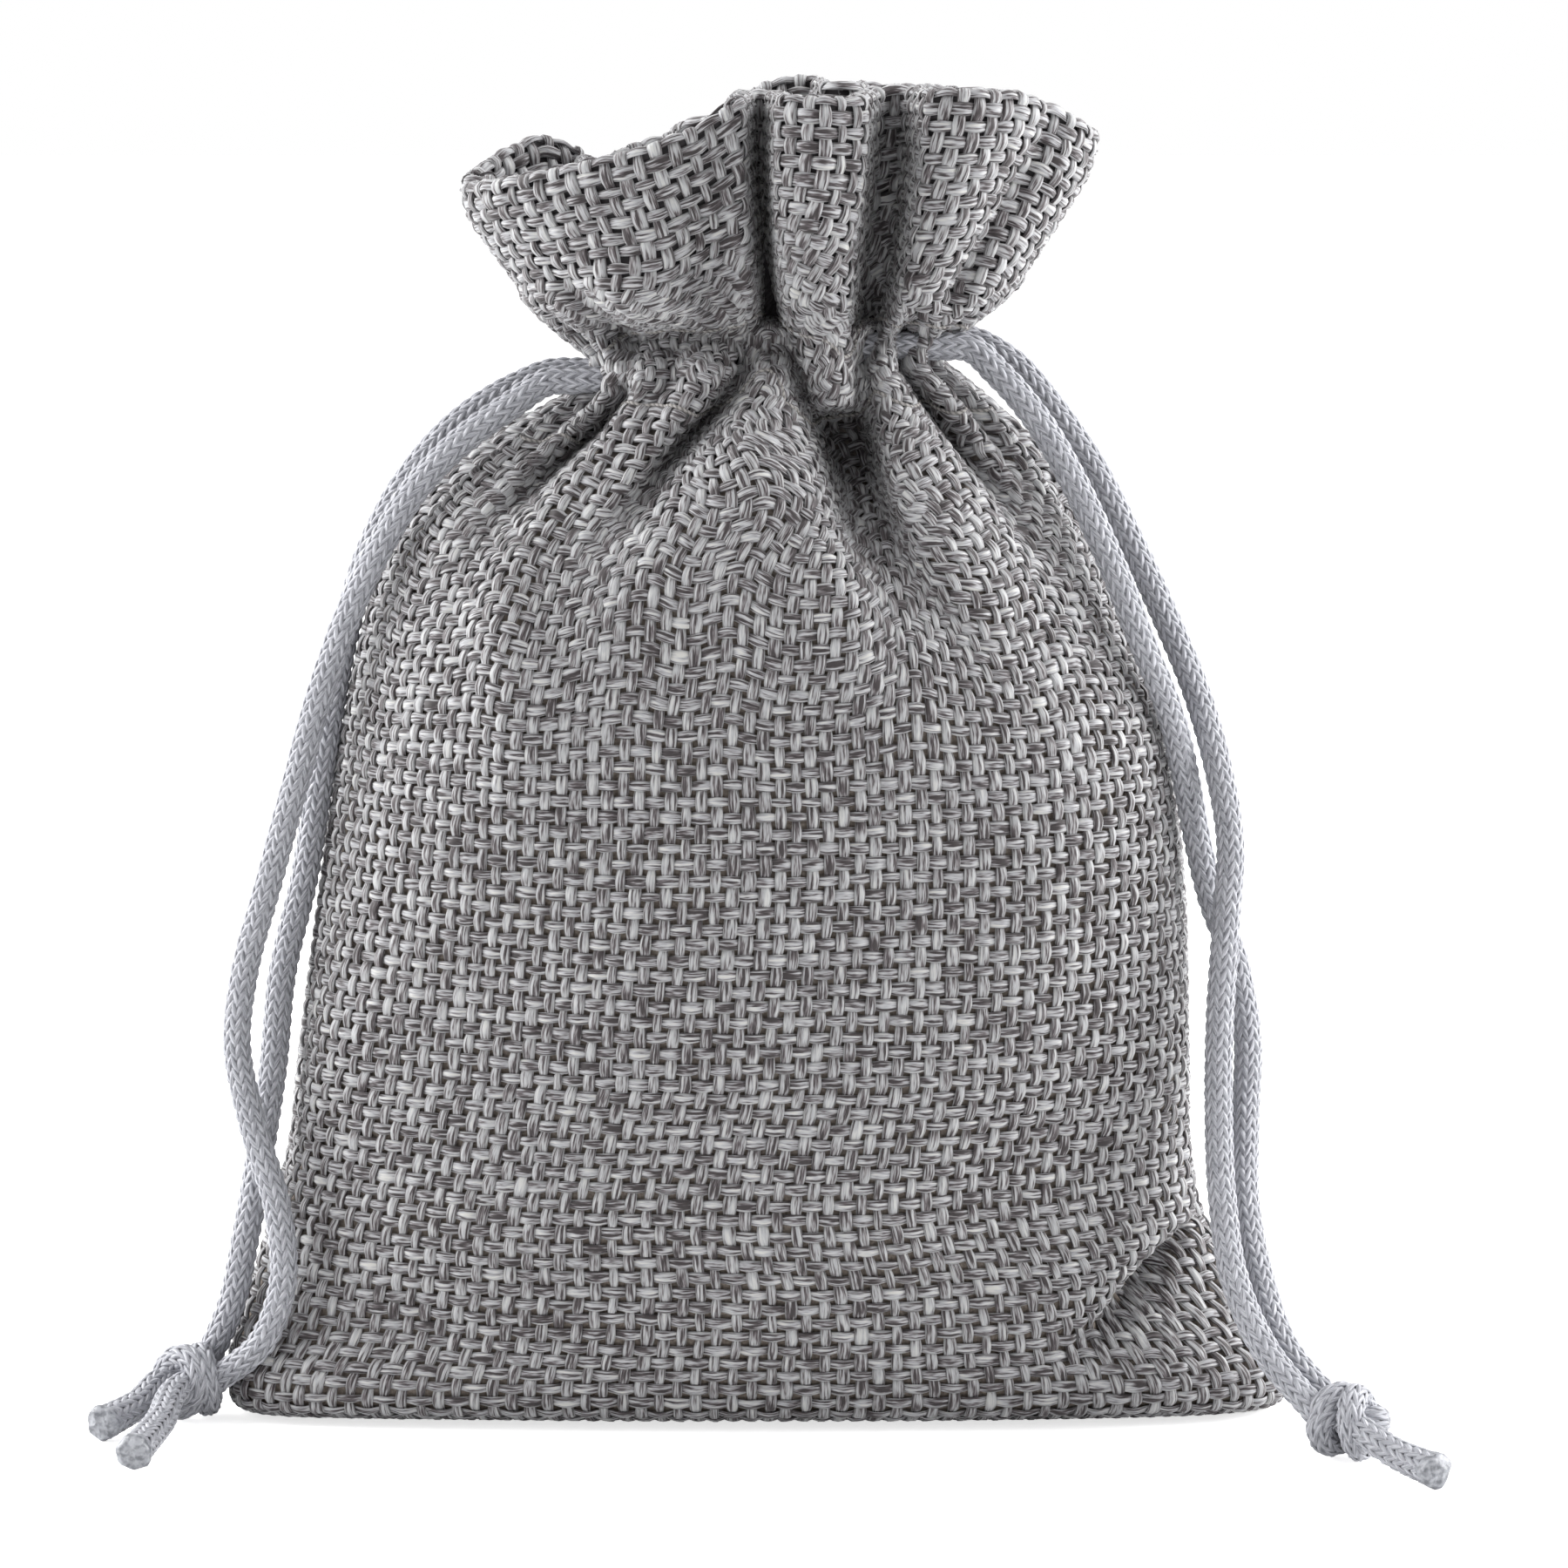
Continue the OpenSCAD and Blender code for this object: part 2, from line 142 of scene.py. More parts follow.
def meshPiece(name, points, quads, material, uvMaps=None):
    # points in mm
    mesh = bpy.data.meshes.new(name)
    mesh.vertices.add(len(points))
    mesh.vertices.foreach_set("co", (points * mm).astype(np.float32).ravel())
    mesh.loops.add(quads.size)
    mesh.loops.foreach_set("vertex_index", quads.astype(np.int32).ravel())
    mesh.polygons.add(len(quads))
    mesh.polygons.foreach_set("loop_start", np.arange(0, quads.size, 4, dtype=np.int32))
    for mapName, uv in (uvMaps or {}).items():
        layer = mesh.uv_layers.new(name=mapName)
        layer.data.foreach_set("uv", uv.astype(np.float32).ravel())
    mesh.update(calc_edges=True)
    mesh.validate()
    mesh.shade_smooth()
    mesh.materials.append(material)
    piece = bpy.data.objects.new(name, mesh)
    bpy.context.scene.collection.objects.link(piece)
    return piece


def tubes(centres, side, up, wide, thick, corners, offsets, capped=True):
    # flattened tubes along centres (tube, ring, xyz); wide and thick in mm for each ring.
    # In OFBake each tube has its own strip; yarnRun is mm round and along the tube.
    count, rings = centres.shape[:2]
    turn = 2 * np.pi * np.arange(corners) / corners
    points = (centres[:, :, None] + side[:, :, None] * (wide[..., None] / 2 * np.cos(turn))[..., None]
              + up[:, :, None] * (thick[..., None] / 2 * np.sin(turn))[..., None])
    ring = np.arange(rings - 1)[:, None]
    corner = np.arange(corners)[None]
    walls = gridQuads(rings, corners, closed=True)
    along = travelled(centres, axis=1)
    longest = along[:, -1].max()
    wallShape = (rings - 1, corners, 4)
    around = np.stack([corner, corner + 1, corner + 1, corner], -1)
    around = np.broadcast_to(around, wallShape).reshape(-1, 4) / corners
    ringOf = np.stack([ring, ring, ring + 1, ring + 1], -1)
    ringOf = np.broadcast_to(ringOf, wallShape).reshape(-1, 4)
    strip, edge = 0.92 / count, 0.02   # width of a strip, and the margin at its ends
    girth = 2.2 * np.mean(wide)
    bake, run = [], []
    for k in range(count):
        share = along[k][ringOf] / longest
        bake.append(np.stack([k / count + around * strip, edge + (1 - 2 * edge) * share], -1))
        run.append(np.stack([offsets[k] + around * girth, along[k][ringOf]], -1))
    bake, run = np.concatenate(bake), np.concatenate(run)
    total = rings * corners
    quads = (walls[None] + np.arange(count)[:, None, None] * total).reshape(-1, 4)
    if capped:
        # the caps' maps lie in the margins
        capQuads, capBake, capRun = [], [], []
        capWide, capTall = strip / corners, edge * 0.5
        for k in range(count):
            for end, low in ((0, edge * 0.2), (rings - 1, 1 - edge * 0.8)):
                first = k * total + end * corners
                for m in range(0, corners - 2, 2):
                    face = [first, first + m + 1, first + m + 2, first + (m + 3) % corners]
                    capQuads.append(face if end else face[::-1])
                    left = k / count + strip * m / corners
                    box = [[left, low], [left + capWide, low],
                           [left + capWide, low + capTall], [left, low + capTall]]
                    capBake.append(box)
                    capRun.append([[offsets[k] + 0.1 * c[0], along[k][end] + 0.1 * c[1]] for c in box])
        quads = np.concatenate([quads, np.array(capQuads)])
        bake = np.concatenate([bake, np.array(capBake)])
        run = np.concatenate([run, np.array(capRun)])
    return points.reshape(-1, 3), quads, {"OFBake": bake.reshape(-1, 2), "yarnRun": run.reshape(-1, 2)}


def smoothNoise(shape, step, seed):
    # seeded noise along the last axis, eased over step samples
    draw = np.random.default_rng(seed).standard_normal((shape[0], shape[1] + 6 * step))
    width = np.arange(-3 * step, 3 * step + 1)
    kernel = np.exp(-(width / step) ** 2)
    kernel /= np.sqrt((kernel**2).sum())
    return np.array([np.convolve(line, kernel, mode="valid") for line in draw])


print("frame loaded")

# Woven slub yarn, spun polyester with a linen look: grey fibres of several tones lie side by side,
# so each float shows fine light and dark streaks along the yarn and a dull silky shine.
yarnLook = {
    "streakWidth": 0.21,   # mm
    "streakLength": 2.6,   # mm
    "tonePatch": 4.5,      # mm of yarn that keeps one tone
    "warpStops": [(0.28, "#292123"), (0.405, "#5e575a"), (0.50, "#8f8e8f"), (0.64, "#a6a7aa"),
                  (0.86, "#bdbdbb")],
    "weftStops": [(0.31, "#241c1e"), (0.42, "#575053"), (0.51, "#8e8d8f"), (0.64, "#a8a9ad"),
                  (0.86, "#c3c2be")],
}


def yarnMaterial(name, stops):
    material, tree, shader = newMaterial(name, Roughness=0.62, IOR=1.53, Sheen_Weight=0.3,
                                         Sheen_Roughness=0.45)
    streakScale = (1 / yarnLook["streakWidth"], 1 / yarnLook["streakLength"], 1)
    toneScale = (0.7, 1 / yarnLook["tonePatch"], 1)
    streak = runNoise(tree, streakScale, {"Detail": 2.5, "Roughness": 0.6})
    tone = runNoise(tree, toneScale, {"Detail": 1.0}, shift=(31, 7, 0))
    shifted, sharper = (
        addNode(tree, "ShaderNodeMath", {0: value, 1: gain, 2: -0.25}, operation="MULTIPLY_ADD").outputs[0]
        for value, gain in ((tone, 0.5), (streak, 1.5)))
    level = addNode(tree, "ShaderNodeMath", {0: sharper, 1: shifted}, operation="ADD").outputs[0]
    rampColour(tree, shader, level, stops)
    bumpUp(tree, shader, streak, 0.6, 0.06)
    return material


warpYarn = yarnMaterial("spun polyester warp, woven", yarnLook["warpStops"])
weftYarn = yarnMaterial("spun polyester weft, woven", yarnLook["weftStops"])

# Loose fibre felted behind the open weave: dull taupe, seen in the square gaps between the yarns.
# From the neck up the cloth is doubled, and there the gaps show a dark grey checker of the other layer's
# crossings: its darkness is painted shade between the two layers.
groundLook = {"fibre": 0.35, "doubledFrom": 88, "doubledTo": 98, "crossings": (73, 132, 1)}   # mm, squares
groundMaterial, tree, shader = newMaterial("fibre felt backing, painted shade where doubled", Roughness=0.9, IOR=1.5)
place = addNode(tree, "ShaderNodeTexCoord").outputs["Object"]
fibre = addNode(tree, "ShaderNodeTexNoise", {"Vector": place, "Scale": 1 / (groundLook["fibre"] * mm),
                                             "Detail": 3.0}).outputs["Fac"]
felt = rampColour(tree, shader, fibre, [(0.3, "#6e655d"), (0.55, "#8b8178"), (0.75, "#a0968c")])
height = addNode(tree, "ShaderNodeSeparateXYZ", {"Vector": place}).outputs["Z"]
# mask of the doubled cloth, where the felt gives way to painted shade
doubled = addNode(tree, "ShaderNodeMapRange", {"Value": height, "From Min": groundLook["doubledFrom"] * mm,
                                               "From Max": groundLook["doubledTo"] * mm}).outputs["Result"]
sheetAt = addNode(tree, "ShaderNodeUVMap", uv_map="OFBake").outputs["UV"]
crossingAt = addNode(tree, "ShaderNodeMapping", {"Vector": sheetAt, "Scale": groundLook["crossings"]})
# painted shade: a dark grey checker stands for the shaded inner layer seen through the gaps
paintedShadeCrossing = addNode(tree, "ShaderNodeTexChecker", {
    "Vector": crossingAt.outputs[0], "Scale": 1.0, "Color1": linear("#524f51"), "Color2": linear("#403d3f"),
}).outputs["Color"]
tone = addNode(tree, "ShaderNodeMix", {"Factor": doubled}, data_type="RGBA")
tree.links.new(paintedShadeCrossing, tone.inputs["B"])
tree.links.new(felt, tone.inputs["A"])
tree.links.new(tone.outputs["Result"], shader.inputs["Base Color"])
bumpUp(tree, shader, fibre, 0.5, 0.1)

# Braided polyester filament, heat-set: pale cool grey, smooth bundles with a soft satin shine.
cordMaterial, tree, shader = newMaterial("braided polyester filament", Roughness=0.5, IOR=1.58,
                                         Sheen_Weight=0.1)
filament = runNoise(tree, (1 / 0.11, 1 / 1.6, 1), {"Detail": 2.0})
rampColour(tree, shader, filament, [(0.3, "#82838a"), (0.5, "#a8a9b0"), (0.7, "#c6c7cd")])
bumpUp(tree, shader, filament, 0.4, 0.04)

# Cord ends melted with a hot knife: a smooth grey crust with small lumps.
meltMaterial, tree, shader = newMaterial("melted polyester", Roughness=0.35, IOR=1.58)
place = addNode(tree, "ShaderNodeTexCoord").outputs["Object"]
lump = addNode(tree, "ShaderNodeTexNoise", {"Vector": place, "Scale": 1 / (0.6 * mm), "Detail": 2.0})
lump = lump.outputs["Fac"]
rampColour(tree, shader, lump, [(0.35, "#6f7177"), (0.6, "#a8aab0")])
bumpUp(tree, shader, lump, 0.7, 0.15)

# Spun sewing thread: matt grey, two plies twisted.
threadMaterial, tree, shader = newMaterial("spun sewing thread", Roughness=0.75, IOR=1.53)
run = addNode(tree, "ShaderNodeUVMap", uv_map="yarnRun").outputs["UV"]
ply = addNode(tree, "ShaderNodeTexWave", {"Vector": run, "Scale": 1.2, "Distortion": 0.6},
              bands_direction="DIAGONAL").outputs["Fac"]
rampColour(tree, shader, ply, [(0.2, "#6f6c6a"), (0.7, "#a19e9b")])
print("materials made")

# Camera, light and floor
view = {"lens": 143.9, "distance": 0.6, "lift": 8.0, "aim": (0.0023, 0, 0.0593)}   # m, degrees
camera = bpy.data.objects.new("camera", bpy.data.cameras.new("camera"))
bpy.context.scene.collection.objects.link(camera)
camera.data.lens = view["lens"]
camera.data.sensor_width = 36
lift = math.radians(view["lift"])
camera.location = (view["aim"][0], view["aim"][1] - view["distance"] * math.cos(lift),
                   view["aim"][2] + view["distance"] * math.sin(lift))
camera.rotation_euler = (math.pi / 2 - lift, 0, 0)
camera.data.clip_start, camera.data.clip_end = 0.01, 20
bpy.context.scene.camera = camera
bpy.context.scene.view_settings.view_transform = "Standard"

world = bpy.data.worlds.new("studio")
bpy.context.scene.world = world
world.use_nodes = True
tree = world.node_tree
seen = addNode(tree, "ShaderNodeLightPath")
# the white surround is bright to the eye and in reflections, but lights the cloth weakly
plain = seen.outputs["Is Camera Ray"]
for ray in ("Is Glossy Ray", "Is Transmission Ray"):
    plain = addNode(tree, "ShaderNodeMath", {0: plain, 1: seen.outputs[ray]}, operation="MAXIMUM").outputs[0]
strength = addNode(tree, "ShaderNodeMapRange", {"Value": plain, "To Min": 0.32, "To Max": 1.0})
tree.nodes["Background"].inputs["Color"].default_value = (1, 1, 1, 1)
tree.links.new(strength.outputs["Result"], tree.nodes["Background"].inputs["Strength"])

lamps = {
    "left": {"at": (-0.6, 0.1, 0.33), "size": 0.8, "watts": 8.9},
    "right": {"at": (0.6, 0.1, 0.33), "size": 0.8, "watts": 9.3},
    "overhead": {"at": (0.0, -0.15, 0.75), "size": 0.7, "watts": 0.5},
    "frontLeft": {"at": (-0.55, -0.75, 0.45), "size": 0.6, "watts": 0.5},
    "frontRight": {"at": (0.6, -0.7, 0.4), "size": 0.6, "watts": 0.35},
}
for lampName, lamp in lamps.items():
    light = bpy.data.lights.new(lampName, "AREA")
    light.shape, light.size, light.energy = "DISK", lamp["size"], lamp["watts"]
    holder = bpy.data.objects.new(lampName, light)
    bpy.context.scene.collection.objects.link(holder)
    holder.location = lamp["at"]
    down = np.array(lamp["at"]) - np.array((0, 0, 0.06))
    holder.rotation_euler = (math.atan2(math.hypot(down[0], down[1]), down[2]), 0,
                             math.atan2(down[1], down[0]) + math.pi / 2)

floorMaterial, tree, shader = newMaterial("white paper floor", Roughness=0.9)
shader.inputs["Base Color"].default_value = linear("#f7f7f7")
seen = addNode(tree, "ShaderNodeLightPath").outputs["Is Camera Ray"]
lit = addNode(tree, "ShaderNodeMath", {0: seen, 1: 0.7}, operation="MULTIPLY").outputs[0]
shader.inputs["Emission Color"].default_value = (1, 1, 1, 1)
tree.links.new(lit, shader.inputs["Emission Strength"])
floorMesh = bpy.data.meshes.new("floor")
floorMesh.from_pydata([(-3, -3, 0), (3, -3, 0), (3, 3, 0), (-3, 3, 0)], [], [(0, 1, 2, 3)])
floor = bpy.data.objects.new("floor", floorMesh)
floor.data.materials.append(floorMaterial)
bpy.context.scene.collection.objects.link(floor)
print("camera, lamps and floor set")

# Cords: each leaves the casing at its own side as two strands and ends in a knot with two cut tails.
cordFacts = {
    "wide": 2.8,           # mm, the braid's diameter
    "carriers": 14,        # strands each way round
    "stitch": 1.25,        # mm from one V of the braid to the next
    "strandWide": 0.55, "strandThick": 0.32, "rise": 0.12,
    "ringStep": 0.4, "loopStep": 0.6, "knotStep": 0.33,          # mm from ring to ring of the mesh
    "leftHeight": 98.4, "rightHeight": 101.6, "legAside": 5.6,   # where the cords run in the casing
    "casingX": (9.5, 13.5, 18.0, 19.2),   # places of a strand in the casing, from its hidden start
    "casingEnd": 17.2,
    "bendFrom": 16.2, "bendTo": 20.5,     # x between which a strand takes up the swing
    "loopTurn": 8.3, "loopEnd": 9.4,      # x of the loop's far turn and of its ends
    "intoKnot": 1.6, "besideKnot": 1.55,  # where strands and tails enter the knot, from its middle
}
cordRadius = cordFacts["wide"] / 2
sideSign = {"left": -1, "right": 1}
knots = {
    "left": {"at": (-54, -12, 3.75), "way": (-0.85, -0.5, 0)},
    "right": {"at": (54.5, -28, 3.75), "way": (0.8, -0.6, 0)},
}
routes = {
    "left_front": [
        (-23.5, -6.5, 96), (-28, -7.5, 92.8), (-32.2, -8.5, 88.5), (-35.6, -9, 83), (-38.9, -9, 76),
        (-41.6, -8.5, 68.5), (-44, -8, 60), (-46.5, -8, 51), (-48.8, -9, 42.5), (-49.5, -10, 36),
        (-48, -11.5, 28.5), (-45.6, -12.8, 20.5), (-45.2, -13.6, 13), (-47.2, -13.8, 7.8)],
    "left_back": [
        (-23.5, 4, 97), (-29, 2, 93.5), (-33.5, 0.5, 88.5), (-36.8, -1, 82.5), (-39.2, -2, 75),
        (-40.8, -2.5, 67), (-42, -3, 59.5), (-43.4, -3.5, 51), (-45.6, -4.5, 41.5), (-46.4, -6, 33),
        (-47.6, -7.4, 25), (-49, -8.6, 17), (-50.4, -9.4, 10.5)],
    "right_front": [
        (22.5, -6.5, 99), (26.3, -7.5, 94.5), (29.5, -8.5, 89), (32.8, -9.5, 82), (35.8, -10, 74.5),
        (38.8, -8, 67), (40.3, -6.5, 61), (41.5, -5.5, 55), (43, -5, 49), (45.2, -6, 43),
        (46.3, -8, 36.5), (46, -11, 29), (45.8, -14.5, 22), (47, -18.5, 15), (49, -22.5, 9.5)],
    "right_back": [
        (23.5, 4, 99.8), (28, 2.5, 95), (31.8, 1, 89.5), (34.9, -0.5, 83.5), (38.4, -2.2, 76),
        (41.5, -4.5, 68.5), (43.3, -7.5, 62), (44.4, -9.5, 55), (44, -10.8, 48), (43.4, -12.2, 39),
        (43.2, -14.5, 30), (43.4, -17.5, 22.5), (44.4, -20.8, 15.5), (46.8, -24.2, 10)],
}


def evenPath(points, step):
    # smooth line through the points, one place every step mm
    points = np.array(points, float)
    keys = travelled(points)
    fine = curveThrough(keys, points, np.linspace(0, keys[-1], 40 * len(points)))
    length = travelled(fine)
    places = np.linspace(0, length[-1], max(4, int(length[-1] / step) + 1))
    return readAlong(places, length, fine)


def carriedFrame(path):
    # two directions across the path, carried along it without twist
    along = unit(np.gradient(path, axis=0))
    side = np.zeros_like(path)
    last = np.array((0, 0, 1.0)) if abs(along[0][2]) < 0.8 else np.array((1.0, 0, 0))
    for k in range(len(path)):
        last = last - along[k] * (last @ along[k])
        last = last / np.linalg.norm(last)
        side[k] = last
    return along, side, np.cross(along, side)


def braid(name, path, radius, seed=0):
    # tubular braid: strands run both ways round, two over and two under, so that Vs stand in columns.
    # radius: one number, or one for each place on the path
    carriers = cordFacts["carriers"]
    radius = np.broadcast_to(radius, (len(path),))
    side, up = carriedFrame(path)[1:]
    length = travelled(path)
    lead = cordFacts["stitch"] * carriers
    squeeze = radius / (cordFacts["wide"] / 2)
    middle = radius - squeeze * (cordFacts["rise"] + cordFacts["strandThick"] / 2)
    lines = []
    for way in (1, -1):
        for k in range(carriers):
            angle = 2 * np.pi * (k / carriers + way * length / lead)
            height = middle + squeeze * way * cordFacts["rise"] * np.sin(carriers * angle / 2)
            out = side * np.cos(angle)[:, None] + up * np.sin(angle)[:, None]
            lines.append(path + out * height[:, None])
    lines = np.array(lines)
    forward = unit(np.gradient(lines, axis=1))
    out = unit(lines - path[None])
    across = unit(np.cross(forward, out))
    out = np.cross(across, forward)
    shape = lines.shape[:2]
    wide = np.broadcast_to(cordFacts["strandWide"] * squeeze, shape)
    wide = wide * (1 + 0.06 * smoothNoise(shape, 4, 40 + seed))
    thick = np.broadcast_to(cordFacts["strandThick"] * squeeze, shape)
    offsets = 3.1 * np.arange(shape[0]) + 17 * seed
    points, quads, maps = tubes(lines, across, out, wide, thick, 4, offsets, capped=False)
    return meshPiece(name, points, quads, cordMaterial, maps)


def knotFrame(which):
    # the knot's middle, the way its cords run through it, and sideways
    way = unit(np.array(knots[which]["way"], float))
    return np.array(knots[which]["at"], float), way, unit(np.cross(way, (0, 0, 1)))


def legPlace(name):
    # the strand's side, leg, sign in x, and y and z in the casing
    which, leg = name.split("_")
    y = cordFacts["legAside"] * (-1 if leg == "front" else 1)
    return which, leg, sideSign[which], y, cordFacts[which + "Height"]


strands = {}
for index, (name, route) in enumerate(routes.items()):
    which, leg, sign, y, z = legPlace(name)
    knot, way, aside = knotFrame(which)
    beside = cordFacts["besideKnot"] * (1 if leg == "back" else -1)
    entry = knot - cordFacts["intoKnot"] * way + beside * aside
    start = [(sign * x, y, z) for x in cordFacts["casingX"]]
    path = evenPath(start + route + [tuple(entry)], cordFacts["ringStep"])
    strands[name] = (braid(name + "_strand.braid", path, cordRadius, index), path)

tails = {
    "left_short": {"tip": (-7.5, -9), "across": 1}, "left_long": {"tip": (-3.5, -20), "across": -1},
    "right_front": {"tip": (7, -11), "across": 1}, "right_back": {"tip": (3, 8), "across": -1},
}
tailFacts = {
    "loosened": 0.2,                          # how much the braid opens towards its cut end
    "restHeight": 1.22, "clear": 0.05,        # of the end's middle: radii, and mm more
    "middle": (0.5, 0.5, 0.7),                # share of the way down at half length
    "hiddenIn": 0.2, "hiddenAside": 0.8,      # mm from the knot's middle to the hidden start
    "tipCorners": 24,
    # melted tip: mm past the end, share of the radius
    "tipProfile": [(-0.9, 0.9), (-0.45, 0.98), (0.1, 1.0), (0.42, 0.9), (0.6, 0.68), (0.68, 0.34)],
}


def meltedTip(name, path, radius, seed):
    # lumpy cap over the cut end
    along, side, up = carriedFrame(path)
    corners, profile = tailFacts["tipCorners"], tailFacts["tipProfile"]
    turn = 2 * np.pi * np.arange(corners) / corners
    lumps = 1 + 0.05 * np.sin(3 * turn + 2 * seed) + 0.04 * np.sin(7 * turn + 5 * seed)
    spokes = side[-1] * np.cos(turn)[:, None] + up[-1] * np.sin(turn)[:, None]
    rings = [path[-1] + along[-1] * (past + 0.1 * np.sin(4 * turn + 3 * seed + past))[:, None]
             + (radius * share * lumps)[:, None] * spokes for past, share in profile]
    last = corners * (len(profile) - 1)
    lid = [(last, last + k + 1, last + k + 2, last + k + 3) for k in range(0, corners - 2, 2)]
    quads = np.concatenate([gridQuads(len(profile), corners, closed=True), np.array(lid)])
    return meshPiece(name, np.concatenate(rings), quads, meltMaterial)


tailPieces, tipPieces = {}, {}
for index, (name, tail) in enumerate(tails.items()):
    which = name.split("_")[0]
    knot, way, aside = knotFrame(which)
    aside = aside * tail["across"]
    root = knot + cordFacts["intoKnot"] * way + cordFacts["besideKnot"] * aside
    end = np.array((knot[0] + tail["tip"][0], knot[1] + tail["tip"][1],
                    tailFacts["restHeight"] * cordRadius + tailFacts["clear"]))
    middle = root + (end - root) * np.array(tailFacts["middle"])
    hidden = knot + tailFacts["hiddenIn"] * way + tailFacts["hiddenAside"] * aside
    path = evenPath([hidden, root, middle, end], cordFacts["ringStep"])
    radius = cordRadius * (1 + tailFacts["loosened"] * np.linspace(0, 1, len(path)) ** 2)
    radius = np.minimum(radius, path[:, 2] - 0.02)   # stays above the floor
    tailPieces[name] = braid(name + "_tail.braid", path, radius, 10 + index)
    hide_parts(name + "_tail")
    tipPieces[name] = meltedTip(name + "_tail.melted_tip", path, radius[-1], index)
    for piece in (tailPieces[name], tipPieces[name]):
        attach(piece, which + "_cord")

knotFacts = {
    "wrap": 215, "tuck": 60,                       # degrees each way, and those over which the ends go in
    "core": 0.7, "reach": 1.55, "radius": 1.38,    # mm
    "advance": 0.25,                               # mm along the cord in half a turn
    "turns": ((-1.15, 0.34, 1.9), (1.1, -0.42, -0.9)),   # place along the cord, lean, start
}
knotPieces = {}
for index, which in enumerate(knots):
    centre, way, aside = knotFrame(which)
    upward = np.array((0, 0, 1.0))
    angle = np.radians(np.linspace(-knotFacts["wrap"], knotFacts["wrap"], 130))
    ease = np.clip((knotFacts["wrap"] - np.abs(np.degrees(angle))) / knotFacts["tuck"], 0, 1)
    reach = knotFacts["core"] + knotFacts["reach"] * smoothStep(ease)
    knotPieces[which] = []
    for turn, (place, lean, spin) in enumerate(knotFacts["turns"]):
        at = angle + spin
        leaning = lean * reach * np.sin(at + 0.6) + knotFacts["advance"] * angle / np.pi
        ring = (centre + way * (place + leaning)[:, None] + (np.cos(at) * reach)[:, None] * upward
                - (np.sin(at) * reach)[:, None] * aside)
        path = evenPath(ring, cordFacts["knotStep"])
        piece = braid(f"{which}_knot.turn{turn + 1}", path, knotFacts["radius"], 20 + 2 * index + turn)
        knotPieces[which].append(piece)
        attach(piece, which + "_cord")
    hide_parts(which + "_knot")

for name, (strand, path) in strands.items():
    which, leg, sign, y, z = legPlace(name)
    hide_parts(name + "_strand")
    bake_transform(strand)
    ends = [p for group in (tailPieces, tipPieces) for n, p in group.items() if n.startswith(which)]
    pieces = knotPieces[which] + ends if leg == "front" else []

for index, (which, sign) in enumerate(sideSign.items()):
    z, leg, end = cordFacts[which + "Height"], cordFacts["legAside"], sign * cordFacts["loopEnd"]
    half = np.radians(np.linspace(-90, 90, 24))
    turn = [(-sign * (cordFacts["loopTurn"] + leg * math.cos(a)), leg * math.sin(a), z) for a in half]
    route = [(end, -leg, z), (0, -leg, z)] + turn + [(0, leg, z), (end, leg, z)]
    loop = braid(which + "_cord_loop.braid", evenPath(route, cordFacts["loopStep"]), cordRadius, 30 + index)
    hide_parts(which + "_cord_loop")
    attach(loop, which + "_loop")
print("cords braided")

# Cloth: a front and a back sheet of woven yarns, gathered at the neck and hemmed inside the rim
pouch = {
    # height, left, right, half depth, roundness of the plan: from the middle of the base up to the rim, mm
    "rows": [
        (0.5, -48.8, 48.8, 0.4, 2.2), (0.5, -48.9, 48.9, 7.5, 2.4), (0.55, -49.4, 49.4, 13.6, 2.6),
        (1.6, -50.4, 50.4, 17.2, 2.7), (4.2, -50.8, 50.6, 18.8, 2.45), (7.8, -50, 48.8, 19.8, 2.1),
        (12, -48.7, 45.7, 20.8, 1.97), (18, -46.9, 42.6, 21.8, 2.05), (25, -45.1, 41.1, 22.5, 2.1),
        (33, -44.2, 40.8, 23, 2.2), (45, -42.7, 40.8, 23.6, 2.2), (56, -41, 39.9, 23.9, 2.2),
        (66, -39.4, 37.9, 24, 2.2), (76.4, -37.2, 34.4, 23.4, 2.2), (84.6, -34, 31.5, 21.4, 2.2),
        (90.2, -29.2, 28, 19.2, 2.3), (94.5, -22.4, 24, 16.2, 2.6), (97.5, -17.6, 20.6, 13.7, 3.1),
        (100, -16.6, 17.9, 12.8, 3.4), (102.8, -19.8, 19.8, 11.8, 3.1), (105.3, -21.9, 22.6, 13.8, 2.8),
        (109, -22.9, 25.2, 15.6, 2.5), (114, -25.2, 28.2, 16.2, 2.3), (119, -27.4, 31, 16.4, 2.2),
        (122, -28, 31.8, 16.6, 2.2)],
    # rim height along x
    "frontRim": [(-29, 115.4), (-22, 116.8), (-10.7, 119.6), (-5.9, 121.4), (-0.8, 124.6), (4, 124.4),
                 (9, 124.2), (12, 124.8), (18, 125), (24, 124.6), (28, 123.2), (32, 120.4)],
    "backRim": [(-29, 115.8), (-25, 118.4), (-21.5, 119.8), (-16, 117.8), (-8, 120), (0, 124.6), (4, 125.4),
                (12, 124.4), (20, 124.4), (26, 123.4), (32, 120.6)],
    "headingFrom": 104,
    # degrees the left seam shows round the front, by height
    "seamTurn": [(0, 0), (12, 0), (34, 11), (80, 12), (92, 6), (97, 0), (130, 0)],
    "lowest": 0.5,
    "seamGap": 1.1, "hookRound": 0.7, "hookLength": 3.4, "hookLean": 0.12,
    "rimRound": 0.8, "hemDepth": 14, "hemApart": 1.1,
    # slot between the cords that the inner layer runs down to
    "slotTop": 103.5, "slotRows": (101, 98.5, 96), "slotHalf": 2.3, "slotRound": 3.3, "slotDepth": 1.5,
    "flatWidth": 110, "closest": 1.1,
    # heights, and how near the middle a fold may come there, beside the cords
    "cordRoom": ((95, 96.4, 103.5, 104.8), (-20, 7.8, 7.8, -20)),
    "earsForward": (6.5, 4.5),   # left and right bottom corner
}
